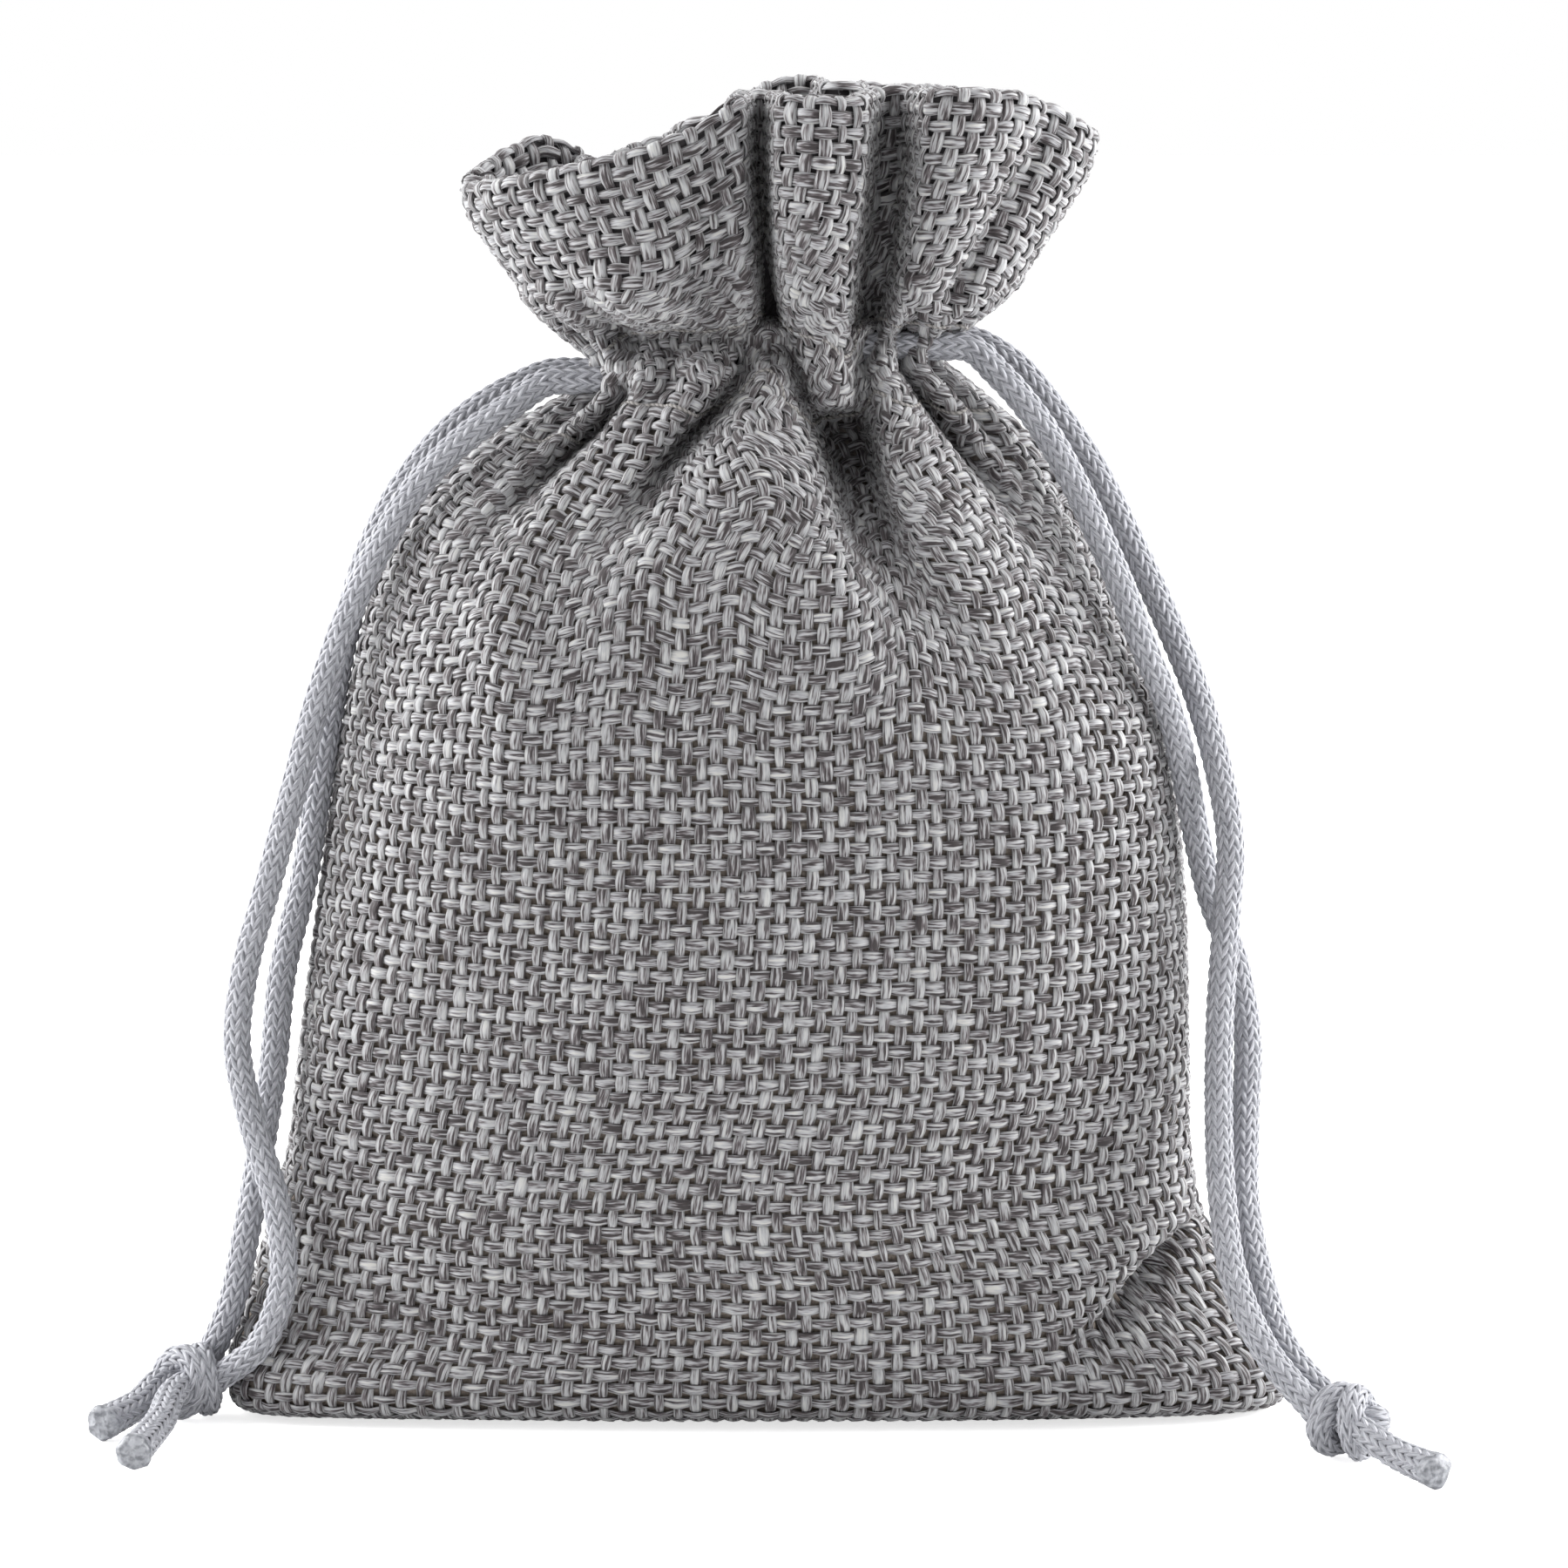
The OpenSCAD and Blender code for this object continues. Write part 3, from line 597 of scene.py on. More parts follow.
# how a fold is pressed in across its width: shares of the depth, each with its own breadth and squareness
foldShapes = {
    "soft": [(1, 1, 1.8)],
    "pleat": [(0.45, 1.6, 1.8), (0.65, 0.62, 2.6)],
    "gather": [(0.35, 1.5, 1.8), (0.7, 0.7, 2.6)],
    "slit": [(0.1, 2, 1.8), (0.93, 0.56, 3.4)],
    "recess": [(0.12, 1.8, 1.8), (0.92, 1, 4)],
}
# folds of each panel: (height, x, width, depth) from the top down, mm; bulges have a depth below 0
frontFolds = [
    ("slit", [(130, 0.2, 1.8, 9.5), (118, 0, 2.1, 12), (111, 0.4, 2.2, 14), (107, 0.8, 2.2, 14.5),
        (105, 1, 2.1, 13), (103, 1.2, 1.7, 8), (101, 1.2, 1.4, 3), (99, 1.2, 1.2, 0)]),
    ("soft", [(130, -4, 4, 0.8), (118, -4, 4, 1.6), (112, -4.4, 3.8, 2.6), (108.5, -4.6, 3.4, 4.4),
        (105.5, -4, 3, 4.4), (103, -3.4, 2.6, 2), (101, -3, 2.4, 0)]),
    ("soft", [(130, 6, 3.6, -1.4), (112, 5.2, 3.4, -1.8), (104, 5.4, 3, -1.2), (99, 6, 2.6, -0.8),
        (97, 6.4, 2.6, 0)]),
    ("recess", [(130, 12.8, 2.1, 9.5), (118, 12.3, 2.2, 12), (112, 11.6, 2.3, 12.5), (109, 11.2, 2.3, 12),
        (106.5, 10.7, 2.1, 11), (104.6, 10.3, 1.9, 8.5), (103, 10, 1.6, 5), (101, 9.8, 1.3, 2),
        (99.5, 9.7, 1.2, 0)]),
    ("soft", [(130, 20, 5, -1), (112, 18, 4, -1.4), (106, 15, 3, 0)]),
    ("pleat", [(107, 0.2, 1.3, 0), (104.5, -0.1, 1.4, 2.4), (102.4, -0.3, 1.5, 4.8), (99.5, -1.4, 1.7, 5.6),
        (97, -3.2, 1.9, 7.2), (94.6, -5.6, 2.2, 9.6), (91.6, -8.2, 2.6, 8.8), (88.4, -10.6, 3.2, 5.4),
        (85, -13, 4, 2.2), (80, -15.5, 4.6, 0.8), (74, -17, 5, 0)]),
    ("pleat", [(107, 1.6, 1.2, 0), (104.5, 2.2, 1.2, 2.2), (102.4, 2.6, 1.3, 4.4), (99.5, 3.4, 1.4, 5.4),
        (97, 4.2, 1.6, 6), (94.4, 5.2, 2, 5), (91, 6, 2.2, 2.4), (88, 7, 2.6, 0)]),
    ("pleat", [(107, 10.6, 1.3, 0), (104.5, 10.2, 1.4, 2.2), (102.4, 9.8, 1.5, 4.4), (99.5, 9.6, 1.6, 5.6),
        (97, 9.8, 1.7, 6.2), (94.4, 10.4, 1.9, 4.6), (91, 10.8, 2.2, 2), (88, 11, 2.6, 0)]),
    ("recess", [(96.6, 7.4, 2.2, 0), (95.4, 7.6, 2.5, 8), (93, 8.2, 2.7, 14), (90, 9, 2.9, 14.5),
        (87, 9.9, 3.3, 10.5), (84, 11.2, 3.9, 5.6), (80.5, 12.8, 4.4, 2.8), (75, 15.5, 5, 1),
        (69, 17, 6, 0)]),
    ("pleat", [(106, 15, 1.4, 0), (103.5, 14.2, 1.6, 3.8), (99.7, 14.2, 1.7, 4.8), (96.5, 16.4, 2.1, 6.2),
        (92, 20.4, 2.8, 6), (87, 24.4, 3.6, 3.4), (82, 27, 4.4, 1.2), (76, 28, 5, 0)]),
    ("soft", [(130, 29, 2, 0.6), (121, 27.5, 2, 1.2), (113, 22.5, 1.9, 2), (107, 18.6, 1.6, 2.6),
        (104, 17.4, 1.5, 0)]),
    ("pleat", [(99.5, -12.6, 1.8, 0), (97, -13.6, 2.2, 4.6), (93.5, -17, 2.8, 8.4), (90.5, -20.6, 3.5, 7.6),
        (86, -24.6, 4.6, 3), (80, -27, 5, 0.8), (75, -28, 5, 0)]),
    ("soft", [(105, -7.6, 1.8, 0), (102.6, -7.6, 1.8, 2.6), (99, -8, 1.8, 3), (95, -10.4, 2.2, 2.2),
        (88, -16, 3, 1.4), (81.3, -19.2, 3.6, 1), (73, -20, 4, 0)]),
    ("soft", [(112, -19.5, 2, 0), (107.5, -17, 2.2, 2.2), (104, -13.6, 2, 3.2), (101, -12.2, 1.8, 2.2),
        (99, -12, 1.8, 0)]),
    ("soft", [(86, -24.4, 3, 0), (79, -24, 3.2, -1.3), (66, -22.6, 3.4, -0.9), (54, -22, 4, 0)]),
    ("soft", [(113, -14, 8, 0), (108, -13.5, 8, -1.8), (105.8, -12, 8, -2.4), (104.6, -11, 7.5, -1.6),
        (103.6, -11, 7, 0)]),
    ("soft", [(104.4, -10, 7.5, 0), (103.2, -10, 7.5, 2.4), (102.4, -10, 7.5, 3.6), (101.4, -10, 7, 2.4),
        (100, -10, 7, 0)]),
    ("soft", [(104.4, 14.5, 3, 0), (103.2, 14.5, 3, 1.6), (102.4, 14.5, 3, 2.4), (101.4, 14.5, 3, 1.4),
        (100, 14.5, 3, 0)]),
    ("soft", [(102, -6, 2.6, 0), (100, -6.2, 2.8, -1.2), (96, -7.6, 3.2, -1.4), (90, -12, 4, -0.8),
        (84, -15, 4, 0)]),
    ("soft", [(103, 1.2, 1.6, 0), (100.6, 1.1, 1.8, -1.4), (96, 0.6, 2.6, -1.6), (90, -1, 4, -0.8),
        (84, -2, 5, 0)]),
    ("pleat", [(20.8, 44.9, 2.4, 0), (17.8, 42.2, 2.8, 3), (14.8, 39.4, 3.2, 5), (11.8, 36.2, 3.4, 5.4),
        (9.4, 33.2, 3.6, 3.8), (7.2, 30, 4, 1.2), (6, 28, 4, 0)]),
    ("soft", [(11, 42, 5, 0), (7, 39, 5.5, -1.4), (4, 37, 6, -1), (2, 37, 6, 0)]),
    ("soft", [(24, 27, 6, 0), (15, 27, 6, -1.4), (6, 25, 7, 0)]),
    ("soft", [(14, -32, 7, 0), (9, -33, 7, 1), (5, -34, 7, 0)]),
]
backFolds = [
    ("slit", [(130, -16, 2, 8), (118, -15, 2, 8), (110, -12.5, 1.8, 6.8), (105, -10.6, 1.6, 5.6),
        (102, -10, 1.5, 0)]),
    ("recess", [(130, -4.5, 2.2, 8.5), (118, -4.2, 2.2, 8.5), (110, -3.9, 1.9, 7.6), (105, -3.6, 1.5, 5.8),
        (102, -3.6, 1.5, 0)]),
    ("slit", [(130, 8, 1.8, 10), (118, 7.6, 1.8, 10), (110, 6.2, 1.8, 8.6), (105, 5, 1.6, 6.2),
        (102, 4.6, 1.5, 0)]),
    ("recess", [(130, 20, 2.2, 5), (118, 19, 2.3, 6), (110, 15.4, 2, 6), (105, 13.2, 1.6, 5.2),
        (102, 12.2, 1.5, 0)]),
    ("pleat", [(104, -10.2, 1.5, 0), (102, -10, 1.6, 5.2), (96.5, -11, 1.8, 5.2), (91, -14, 2.6, 4.2),
        (85, -18, 3.6, 2), (77, -21, 5, 0)]),
    ("pleat", [(104, -3.6, 1.4, 0), (102, -3.6, 1.5, 5.4), (96, -4.2, 1.7, 5.4), (90, -6, 2.6, 4.2),
        (84, -8, 3.6, 2), (76, -9, 5, 0)]),
    ("pleat", [(104, 4.6, 1.4, 0), (102, 4.6, 1.5, 5.4), (96, 5.2, 1.7, 5.4), (90, 7.4, 2.6, 4.3),
        (83, 10, 3.8, 2), (75, 12, 5, 0)]),
    ("pleat", [(104, 12.2, 1.5, 0), (102, 12.2, 1.6, 5), (96, 13.4, 1.8, 4.8), (90, 17, 2.8, 3.4),
        (84, 21, 3.8, 1.6), (76, 23, 5, 0)]),
    ("soft", [(106, -14.2, 1.5, 0), (103, -14, 1.5, 2.6), (99, -14.4, 1.6, 3), (94, -18, 2.5, 2.4),
        (88, -23, 4, 1), (81, -26, 5, 0)]),
    ("pleat", [(106, 0.6, 1.4, 0), (103, 0.6, 1.4, 3.6), (99, 0.5, 1.4, 4.2), (94, 0.6, 2.1, 3.4),
        (88, 0.8, 3, 1.8), (79, 1, 5, 0)]),
    ("soft", [(106, 16.4, 1.5, 0), (103, 16, 1.5, 2.4), (99, 16.2, 1.6, 2.8), (94, 19.6, 2.5, 2.2),
        (88, 24, 4, 0.9), (81, 27, 5, 0)]),
]
# gathers at the sides of the neck, both panels: (height, share of the way from seam to seam, width, depth)
sideFolds = [
    [(106, 0.05, 1.6, 0), (104, 0.05, 1.4, 2), (102.2, 0.05, 1.3, 3.2), (96, 0.05, 1.5, 3.4),
     (91, 0.05, 2.2, 2), (84, 0.05, 3.2, 0)],
    [(106.5, 0.14, 1.6, 0), (104, 0.14, 1.4, 1.6), (102.2, 0.14, 1.3, 2.8), (97, 0.14, 1.5, 3),
     (92, 0.13, 2.2, 1.8), (86, 0.12, 3, 0)],
]
sideFolds += [[(z, 1 - share, wide, deep) for z, share, wide, deep in fold] for fold in sideFolds[::-1]]
cloth = {
    "warpPitch": 1.63, "weftPitch": 1.48, "yarnWide": 1.02, "yarnThick": 0.37, "wave": 0.2,   # mm
    "drift": 0.07,          # mm that a yarn strays sideways
    "closer": 0.12,         # how much wider yarns look where the cloth is doubled
    "roomShare": 0.84,      # most of its room that a squeezed yarn takes
    "ringsPerCrossing": 4, "sampleStep": 0.37,
    "backingEvery": 3, "backingBehind": 0.42, "backingLowest": 0.12,
}
samples = {"rows": 420, "columns": 271, "outline": 1400, "hook": 9}


def foldDepth(folds, height, x, run):
    # how far the outline is pressed in along its run at one height
    pressed = np.zeros_like(run)
    for shape, fold in folds + [("gather", fold) for fold in sideFolds]:
        keys = np.array(fold)[::-1]
        if not keys[0][0] <= height <= keys[-1][0]:
            continue
        at, wide, deep = (np.interp(height, keys[:, 0], keys[:, k]) for k in (1, 2, 3))
        middle = at * run[-1] if shape == "gather" else np.interp(at, x, run)
        apart = np.abs(run - middle) / wide
        for share, breadth, square in foldShapes[shape]:
            pressed += deep * share * np.exp(-(apart / breadth) ** square)
    return pressed


def eased(values, reach, axis):
    # values smoothed along one axis over a reach counted in samples
    width = np.arange(-3 * reach, 3 * reach + 1)
    kernel = np.exp(-(width / reach) ** 2)
    ends = [(3 * reach, 3 * reach) if k == axis else (0, 0) for k in range(values.ndim)]
    padded = np.pad(values, ends, mode="edge")
    return np.apply_along_axis(np.convolve, axis, padded, kernel / kernel.sum(), mode="valid")


def seamShare(z):
    # how far the seams' turn-in is formed at this height
    return np.clip((z - 1.0) / 7.0, 0, 1)


def outline(row, side, folds):
    # one level of a panel: its outline with the folds pressed in, the way inwards, the x of the
    # plain outline, and where on it each column falls
    z, left, right, deep, roundness = row
    z, deep, roundness = max(z, pouch["lowest"]), max(deep, 0.3), max(roundness, 1.3)
    fine = samples["outline"]
    turned = np.array(pouch["seamTurn"])
    seam = np.interp(z, turned[:, 0], turned[:, 1])
    angle = np.radians(np.linspace(-90 - side * seam, 90 - side * 0.4 * seam, fine))
    s, c = np.sin(angle), np.cos(angle)
    reach = (np.abs(s) ** roundness + np.abs(c) ** roundness) ** (-1 / roundness)
    line = np.stack([(left + right) / 2 + (right - left) / 2 * reach * s, side * deep * reach * c], -1)
    run = travelled(line)
    front = np.abs(np.degrees(angle)) <= 90
    tangent = unit(np.gradient(line, axis=0))
    inward = side * np.stack([tangent[:, 1], -tangent[:, 0]], -1)
    # folds near the middle are pressed straight back, those at the sides inwards
    aside = np.clip((np.abs(s) - 0.45) / 0.5, 0, 1)[:, None]
    pressWay = unit(inward * aside + np.array((0, -side)) * (1 - aside))
    press = np.zeros(fine)
    press[front] = foldDepth(folds, z, line[front, 0], run[front])
    # folds stop at the cords in the casing
    cordRoom = np.interp(z, *pouch["cordRoom"])
    press = np.minimum(press, np.maximum(np.abs(line[:, 1]) - cordRoom, 0) + 30 * aside[:, 0])
    moved = line + pressWay * press[:, None]
    length = travelled(moved)
    gap = pouch["seamGap"] * seamShare(z)
    # drawn-in cloth crowds in the folds before it crowds on the ridges
    steps, hidden = np.diff(length), np.clip(press[1:] / 3, 0, 1)
    inFolds = (steps * hidden).sum()
    onRidges = min(pouch["flatWidth"] / length[-1], pouch["closest"])
    between = (pouch["flatWidth"] - onRidges * (length[-1] - inFolds)) / max(inFolds, 1)
    between = np.clip(between, onRidges, 2.5)
    dense = np.concatenate([[0], np.cumsum(steps * (onRidges + (between - onRidges) * hidden))])
    ends = np.interp((gap, length[-1] - gap), length, dense)
    places = np.interp(np.linspace(*ends, samples["columns"]), dense, np.arange(fine))
    return moved, inward, line[:, 0], places


def hooked(z, moved, inward, at):
    # one row of cloth points, with its ends turned in at the seams
    main = readAlong(at, np.arange(len(moved)), moved)
    hook = max(seamShare(z), 0.02)
    bend = pouch["hookRound"] * hook
    steps = np.linspace(0, pouch["hookLength"] * hook, samples["hook"] + 1)[1:]
    curl = np.minimum(steps / bend, np.pi / 2)
    straight = np.maximum(steps - bend * np.pi / 2, 0)
    ends = []
    for last, before in ((0, 1), (-1, -2)):
        out = unit(main[last] - main[before])
        ends.append(main[last] + np.outer(bend * np.sin(curl) + pouch["hookLean"] * straight, out)
                    + np.outer(bend * (1 - np.cos(curl)) + straight, inward[last]))
    flat = np.concatenate([ends[0][::-1], main, ends[1]])
    return np.column_stack([flat, np.full(len(flat), z)])


def unevenness(grid, side):
    # slow waves of filled cloth, less at the base and the neck and none at the seams
    x, z = grid[..., 0], grid[..., 2]
    waves = (0.35 * np.sin(x / 7.1 + z / 11.3 + 1.3 * side) + 0.3 * np.sin(x / 4.9 - z / 8.3 + 2.1)
             + 0.22 * np.sin(z / 5.7 + x / 13 + 0.4 * side))
    byHeight = np.clip((z - 6) / 12, 0, 1) * np.clip((100 - z) / 10, 0.25, 1)
    across = np.abs(np.arange(grid.shape[1]) - (grid.shape[1] - 1) / 2)
    fromSeam = np.clip((samples["columns"] / 2 - across) / 16, 0, 1)
    return waves * byHeight * smoothStep(fromSeam)


def evenWefts(grid):
    # wefts keep their distance where folds lengthen a column
    columns = np.arange(grid.shape[1])
    first = int(np.argmax(grid[:, samples["columns"] // 2, 2] > 60))
    upper = grid[first:]
    count = np.arange(len(upper))
    share = travelled(upper)
    share = share / share[-1:]
    level = np.linspace(0, 1, len(upper))
    rowAt = np.stack([np.interp(level, share[:, k], count) for k in columns], 1)
    rowAt = count[:, None] + eased(eased(rowAt - count[:, None], 5, 1), 3, 0)
    rowAt[0], rowAt[-1] = 0, count[-1]
    return np.concatenate([grid[:first], readGrid(upper, rowAt, columns[None])])


def turnedHem(grid, side):
    # rim turned over, and the hem inside it
    hooks, columns = samples["hook"], samples["columns"]
    face = outward(grid, side)
    climb = unit(grid[-1] - grid[-4])
    fold = pouch["rimRound"]
    arc = [grid[-1] - face[-1] * fold + fold * (face[-1] * math.cos(a) + climb * math.sin(a))
           for a in np.linspace(0, np.pi, 9)[1:]]
    upward = travelled(grid).mean(1)
    inside = []
    for k in range(len(grid) - 2, 0, -1):
        below = upward[-1] - upward[k]
        if below < pouch["hemDepth"]:
            apart = np.interp(below, (0, 4), (2 * fold, pouch["hemApart"]))
            inside.append(grid[k] - face[k] * apart)
    # its warps spread out evenly again below the rim
    plain = np.arange(columns)
    for k, row in enumerate(inside):
        share = 0.85 * smoothStep(min(1.7 * k / len(inside), 1))
        main = row[hooks:-hooks]
        length = travelled(main)
        level = np.interp(np.linspace(0, length[-1], columns), length, plain)
        at = plain * (1 - share) + level * share
        row[hooks:-hooks] = readAlong(at, plain, main)
    return np.concatenate([arc, inside])


def throat(lastRow, side):
    # below the hem's sewn line the inner layer runs down to the slot between the cords
    share = np.linspace(-1, 1, len(lastRow))
    turn = np.radians(90 * share)
    straight = np.sign(share) * np.minimum(np.abs(share) * 3, 1)
    slot = np.stack([pouch["slotHalf"] * straight + pouch["slotRound"] * np.sin(turn),
                     side * np.maximum(pouch["slotDepth"] * np.cos(turn), 0.25), np.zeros(len(share))], -1)
    rows = []
    for k in np.linspace(0, 1, 16)[1:]:
        back = smoothStep(np.clip(k / 0.5, 0, 1))
        narrow = smoothStep(np.clip((k - 0.35) / 0.65, 0, 1))
        rows.append(np.stack([lastRow[:, 0] * (1 - narrow) + slot[:, 0] * narrow,
                              lastRow[:, 1] * (1 - back) + slot[:, 1] * back,
                              lastRow[:, 2] * (1 - k) + pouch["slotTop"] * k], -1))
    rows += [slot + (0, 0, z) for z in pouch["slotRows"]]
    return np.array(rows)


def clothGrid(side, folds, rim):
    # the cloth's middle face as a grid of points: rows up the pouch, columns from seam to seam
    rows = np.array(pouch["rows"])
    rise, hooks = np.diff(rows[:, 0]), samples["hook"]
    lift = (np.hypot(rise, np.diff(rows[:, 3])) + np.hypot(rise, np.diff(rows[:, 2]))) / 2
    keys = np.concatenate([[0], np.cumsum(lift)])
    table = curveThrough(keys, rows, np.linspace(0, keys[-1], samples["rows"]))
    outlines, inwards, plainX, places = zip(*[outline(row, side, folds) for row in table])
    # warps drift sideways slowly from row to row
    places = eased(np.array(places), 10, 0)
    heights = np.maximum(table[:, 0], pouch["lowest"])
    grid = np.array([hooked(*row) for row in zip(heights, outlines, inwards, places)])
    # rim height varies from seam to seam
    rimX = np.interp(places[-1], np.arange(samples["outline"]), plainX[-1])
    rimAt = np.interp(np.pad(rimX, hooks, mode="edge"), *np.array(rim).T)
    low, top = pouch["headingFrom"], table[-1][0]
    above = np.maximum(grid[..., 2] - low, 0)
    grid[..., 2] += above * ((rimAt - low) / (top - low) - 1)[None] * np.clip(above / 6, 0, 1)
    # bottom corners lie forward of the seams above them
    near = np.clip((26 - grid[..., 2]) / 22, 0, 1)
    ears = np.where(grid[..., 0] < 0, *pouch["earsForward"])
    grid[..., 1] -= ears * (np.abs(grid[..., 0]) / 50) ** 4 * smoothStep(near)
    grid = grid + outward(grid, side) * unevenness(grid, side)[..., None]
    grid = evenWefts(grid)
    hem = turnedHem(grid, side)
    whole = np.concatenate([grid, hem, throat(hem[-1], side)])
    climbed = np.median(travelled(whole)[:, hooks:-hooks], 1)
    yarnEnd = climbed[-1 - len(pouch["slotRows"])]
    hookAt = np.linspace(0, pouch["hookLength"], hooks + 1)
    across = np.concatenate([hookAt[:-1] - pouch["hookLength"],
                             np.linspace(0, pouch["flatWidth"], samples["columns"]),
                             pouch["flatWidth"] + hookAt[1:]])
    return whole, climbed, across, yarnEnd


def outward(grid, side):
    return unit(np.cross(np.gradient(grid, axis=1), np.gradient(grid, axis=0))) * (-side)


def evenGrid(grid, climbed, across, step):
    # the same face, resampled to even steps both ways
    ts = np.arange(0, climbed[-1], step)
    ss = np.arange(across[0], across[-1] + 1e-6, step)
    rowAt = np.interp(ts, climbed, np.arange(len(climbed)))
    colAt = np.interp(ss, across, np.arange(len(across)))
    return ts, ss, readGrid(grid, rowAt[:, None], colAt[None])


def readGrid(grid, row, col):
    # the grid's points at fractional rows and columns
    rowEnd, colEnd = grid.shape[0] - 1.001, grid.shape[1] - 1.001
    row, col = np.broadcast_arrays(np.clip(row, 0, rowEnd), np.clip(col, 0, colEnd))
    r, c = row.astype(int), col.astype(int)
    u, v = (row - r)[..., None], (col - c)[..., None]
    return ((1 - u) * (1 - v) * grid[r, c] + (1 - u) * v * grid[r, c + 1]
            + u * (1 - v) * grid[r + 1, c] + u * v * grid[r + 1, c + 1])


def backingSheet(name, side, even, face):
    # thin sheet just behind the yarns
    picks = [np.unique(np.concatenate([np.arange(0, n, cloth["backingEvery"]), [n - 1]]))
             for n in even.shape[:2]]
    points = (even - face * cloth["backingBehind"])[np.ix_(*picks)]
    points[..., 2] = np.maximum(points[..., 2], cloth["backingLowest"])
    n, m = points.shape[:2]
    quads = gridQuads(n, m)[:, ::-side]
    corner = quads.reshape(-1)
    bake = np.stack([0.01 + 0.98 * (corner % m) / (m - 1), 0.01 + 0.98 * (corner // m) / (n - 1)], -1)
    return meshPiece(f"{name}_cloth.backing", points.reshape(-1, 3), quads, groundMaterial, {"OFBake": bake})


def weave(name, side, folds, rim, seed):
    # warps and wefts, each over and under the others, and the backing behind them
    grid, climbed, across, yarnEnd = clothGrid(side, folds, rim)
    step, per = cloth["sampleStep"], cloth["ringsPerCrossing"]
    ts, ss, even = evenGrid(grid, climbed, across, step)
    face = outward(even, side)
    stretchT, stretchS = (np.clip(np.linalg.norm(np.gradient(even, axis=k), axis=-1) / step, 0.35, 2)
                          for k in (0, 1))
    warps = np.arange(ss[0] + 0.5, ss[-1] - 0.3, cloth["warpPitch"])
    wefts = np.arange(0.5, yarnEnd, cloth["weftPitch"])
    print(name, len(warps), "warps", len(wefts), "wefts, sheet", round(float(climbed[-1]), 1), "mm long")
    pieces = []
    for kind, own, other, ownPitch, otherPitch, material in (
            ("warp", warps, wefts, cloth["warpPitch"], cloth["weftPitch"], warpYarn),
            ("weft", wefts, warps, cloth["weftPitch"], cloth["warpPitch"], weftYarn)):
        isWarp = kind == "warp"
        past = otherPitch * 0.45   # the yarn's ends past the last crossings
        places = np.linspace(other[0] - past, other[-1] + past, len(other) * per + 1)
        shape = (len(own), len(places))
        drift = cloth["drift"] * smoothNoise(shape, 3 * per, seed + (0 if isWarp else 5))
        at, along = own[:, None] + drift, np.broadcast_to(places, shape)
        row, col = (along, at) if isWarp else (at, along)
        rowAt, colAt = (row - ts[0]) / step, (col - ss[0]) / step
        centre, normal = readGrid(even, rowAt, colAt), unit(readGrid(face, rowAt, colAt))
        phase = np.pi * ((places - other[0]) / otherPitch)[None] + np.pi * np.arange(len(own))[:, None]
        over = np.cos(phase) * (1 if isWarp else -1)
        centre = centre + normal * (cloth["wave"] * over)[..., None]
        forward = unit(np.gradient(centre, axis=1))
        sideways = unit(np.cross(forward, normal))
        slub = smoothNoise(shape, 4 * per, seed + (1 if isWarp else 6))
        # doubled cloth stands closer, and squeezed yarns are narrower
        closer = 1 + cloth["closer"] * np.clip((centre[..., 2] - 92) / 10, 0, 1)
        room = ownPitch * readGrid((stretchS if isWarp else stretchT)[..., None], rowAt, colAt)[..., 0]
        wide = np.minimum(cloth["yarnWide"] * closer, cloth["roomShare"] * room)
        wide = wide * (0.98 + 0.12 * over + 0.11 * slub)
        thick = cloth["yarnThick"] * (1 - 0.08 * slub)
        offsets = 5.3 * np.arange(len(own)) + 400 * seed + (0 if isWarp else 3000)
        points, quads, maps = tubes(centre, sideways, np.cross(sideways, forward), wide, thick, 6, offsets)
        pieces.append(meshPiece(f"{name}_cloth.{kind}", points, quads, material, maps))
    return pieces, backingSheet(name, side, even, face), (ss, even, face)


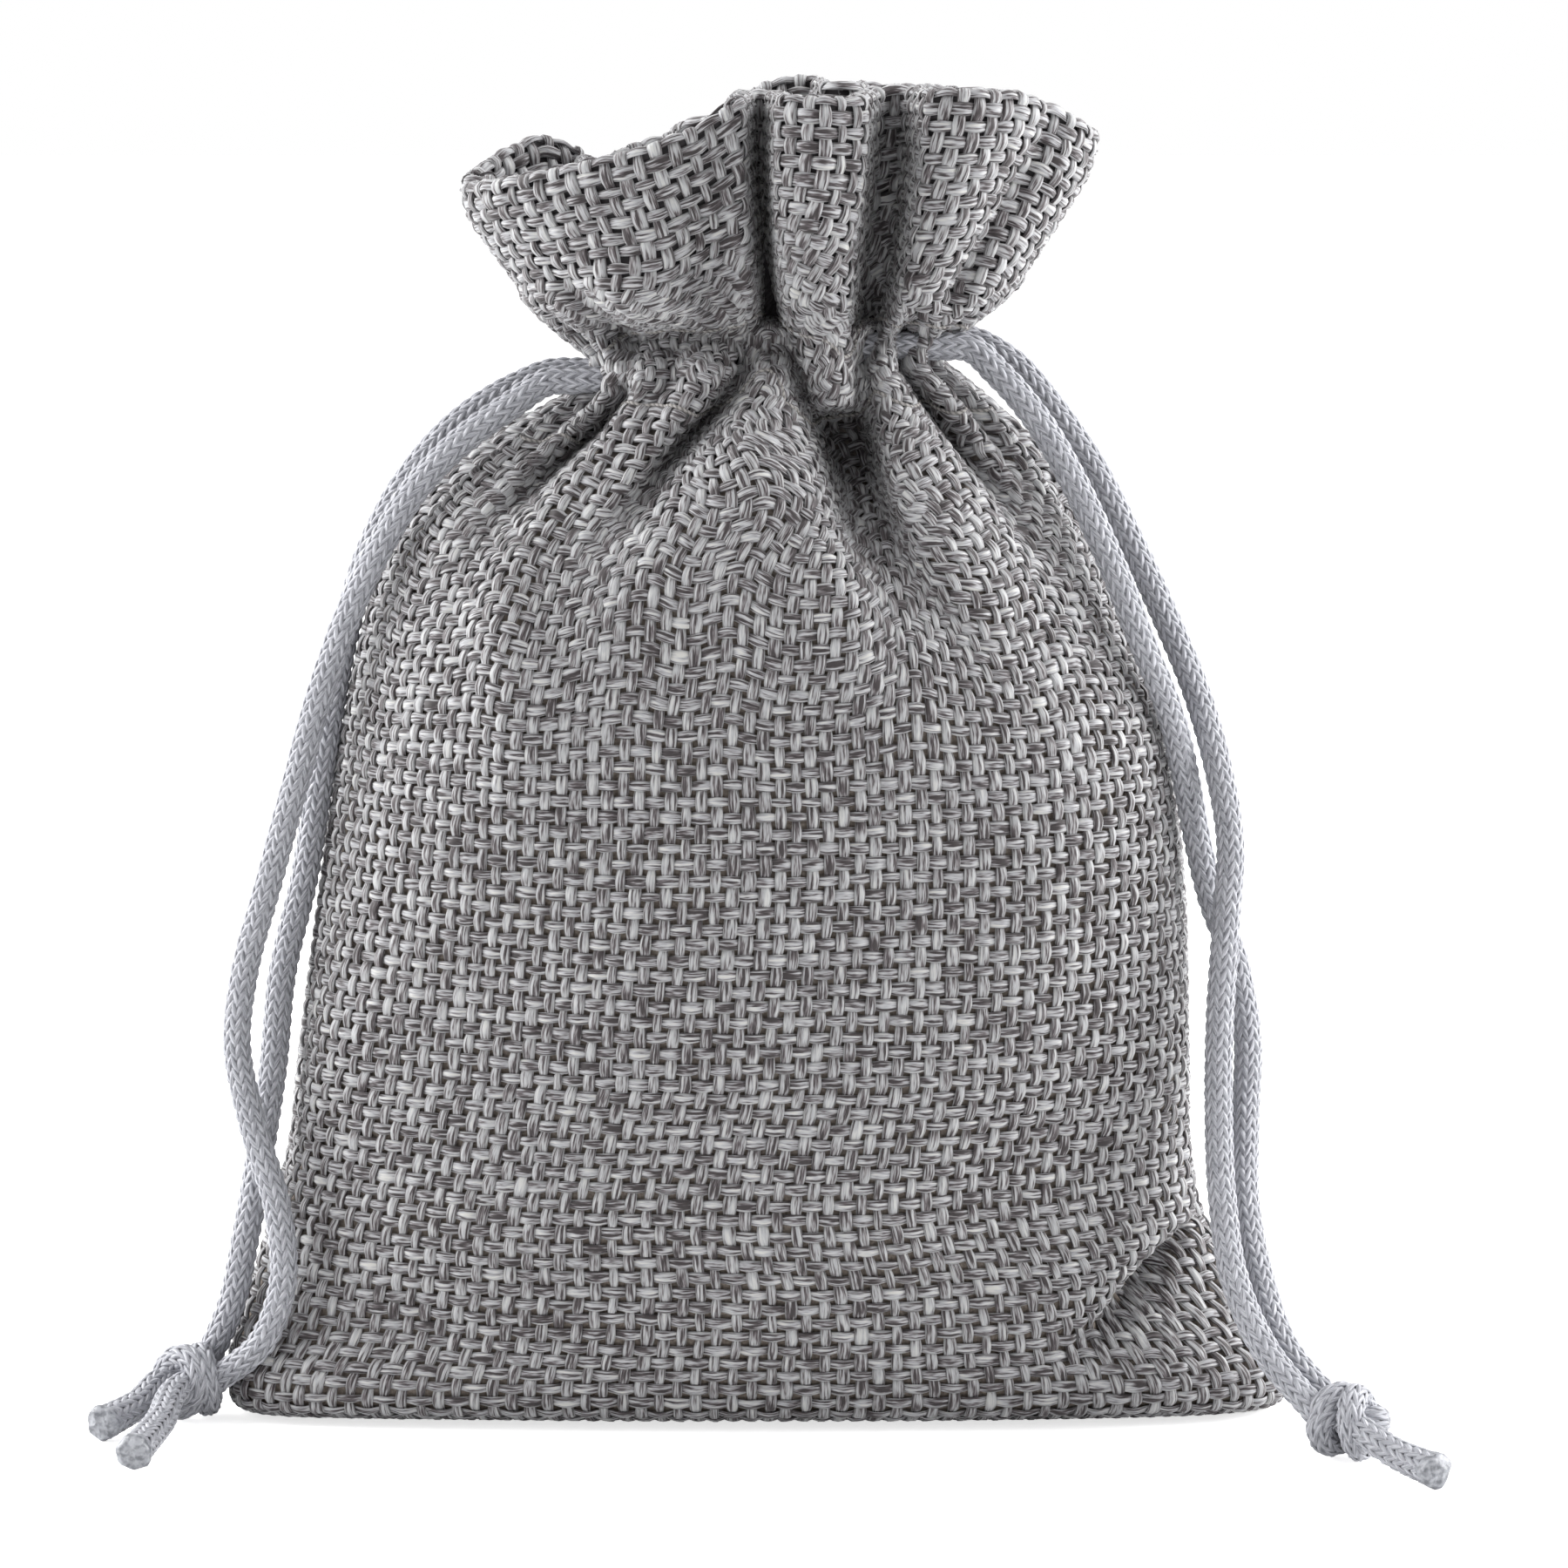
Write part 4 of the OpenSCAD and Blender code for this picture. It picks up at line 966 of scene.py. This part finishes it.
sheets = {}
for name, side, folds, rim, seed in (("front", -1, frontFolds, pouch["frontRim"], 1),
                                     ("back", 1, backFolds, pouch["backRim"], 2)):
    pieces, ground, surface = weave(name, side, folds, rim, seed)
    for piece in pieces + [ground]:
        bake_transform(piece)
    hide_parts(name + "_panel", name + "_casing", name + "_heading")
    sheets[name] = (pieces, ground, surface)
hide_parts("bottom_fold", "left_side_seam", "right_side_seam")
print("cloth woven")

# Sewing threads, mm
sewing = {
    "thread": 0.34, "stitch": 2.6, "stand": 0.28, "ringStep": 0.3,
    "lowerRow": 96.2, "upperRow": 103.8, "rowEnds": 6,   # the rows stop short of the cords' way out
    "seamFrom": 4, "seamTop": 103.0, "seamIn": 2.4,
}


def stitchedThread(node, line, normal):
    # one thread along the line: up on the cloth, then down through it once a stitch
    length = travelled(line)
    places = np.arange(0, length[-1], sewing["ringStep"])
    path, out = readAlong(places, length, line), unit(readAlong(places, length, normal))
    stand = sewing["stand"] * np.sqrt(np.abs(np.sin(np.pi * places / sewing["stitch"])))
    path = path + out * stand[:, None]
    along = unit(np.gradient(path, axis=0))
    aside = unit(np.cross(along, out))
    thick = np.full((1, len(path)), sewing["thread"])
    points, quads, maps = tubes(path[None], aside[None], np.cross(aside, along)[None], thick, thick, 6, [0])
    piece = meshPiece(node + ".stitches", points, quads, threadMaterial, maps)
    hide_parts(node)
    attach(piece, "pouch")


for name, (pieces, ground, (ss, even, face)) in sheets.items():
    middle = even.shape[1] // 2
    rising = np.argmax(even[:, middle, 2] > 110)
    inner = (ss > sewing["rowEnds"]) & (ss < pouch["flatWidth"] - sewing["rowEnds"])
    for rowName in ("lower", "upper"):
        k = np.argmax(even[:rising, middle, 2] > sewing[rowName + "Row"])
        stitchedThread(f"{name}_{rowName}_thread", even[k][inner], face[k][inner])
    if name == "front":
        for sideName, seamAt in (("left", -sewing["seamIn"]), ("right", pouch["flatWidth"] + sewing["seamIn"])):
            line = even[:rising, np.argmin(np.abs(ss - seamAt))]
            line = line[(line[:, 2] > sewing["seamFrom"]) & (line[:, 2] < sewing["seamTop"])]
            stitchedThread(sideName + "_seam_thread", line, np.tile((0, 1.0, 0), (len(line), 1)))
print("threads sewn")
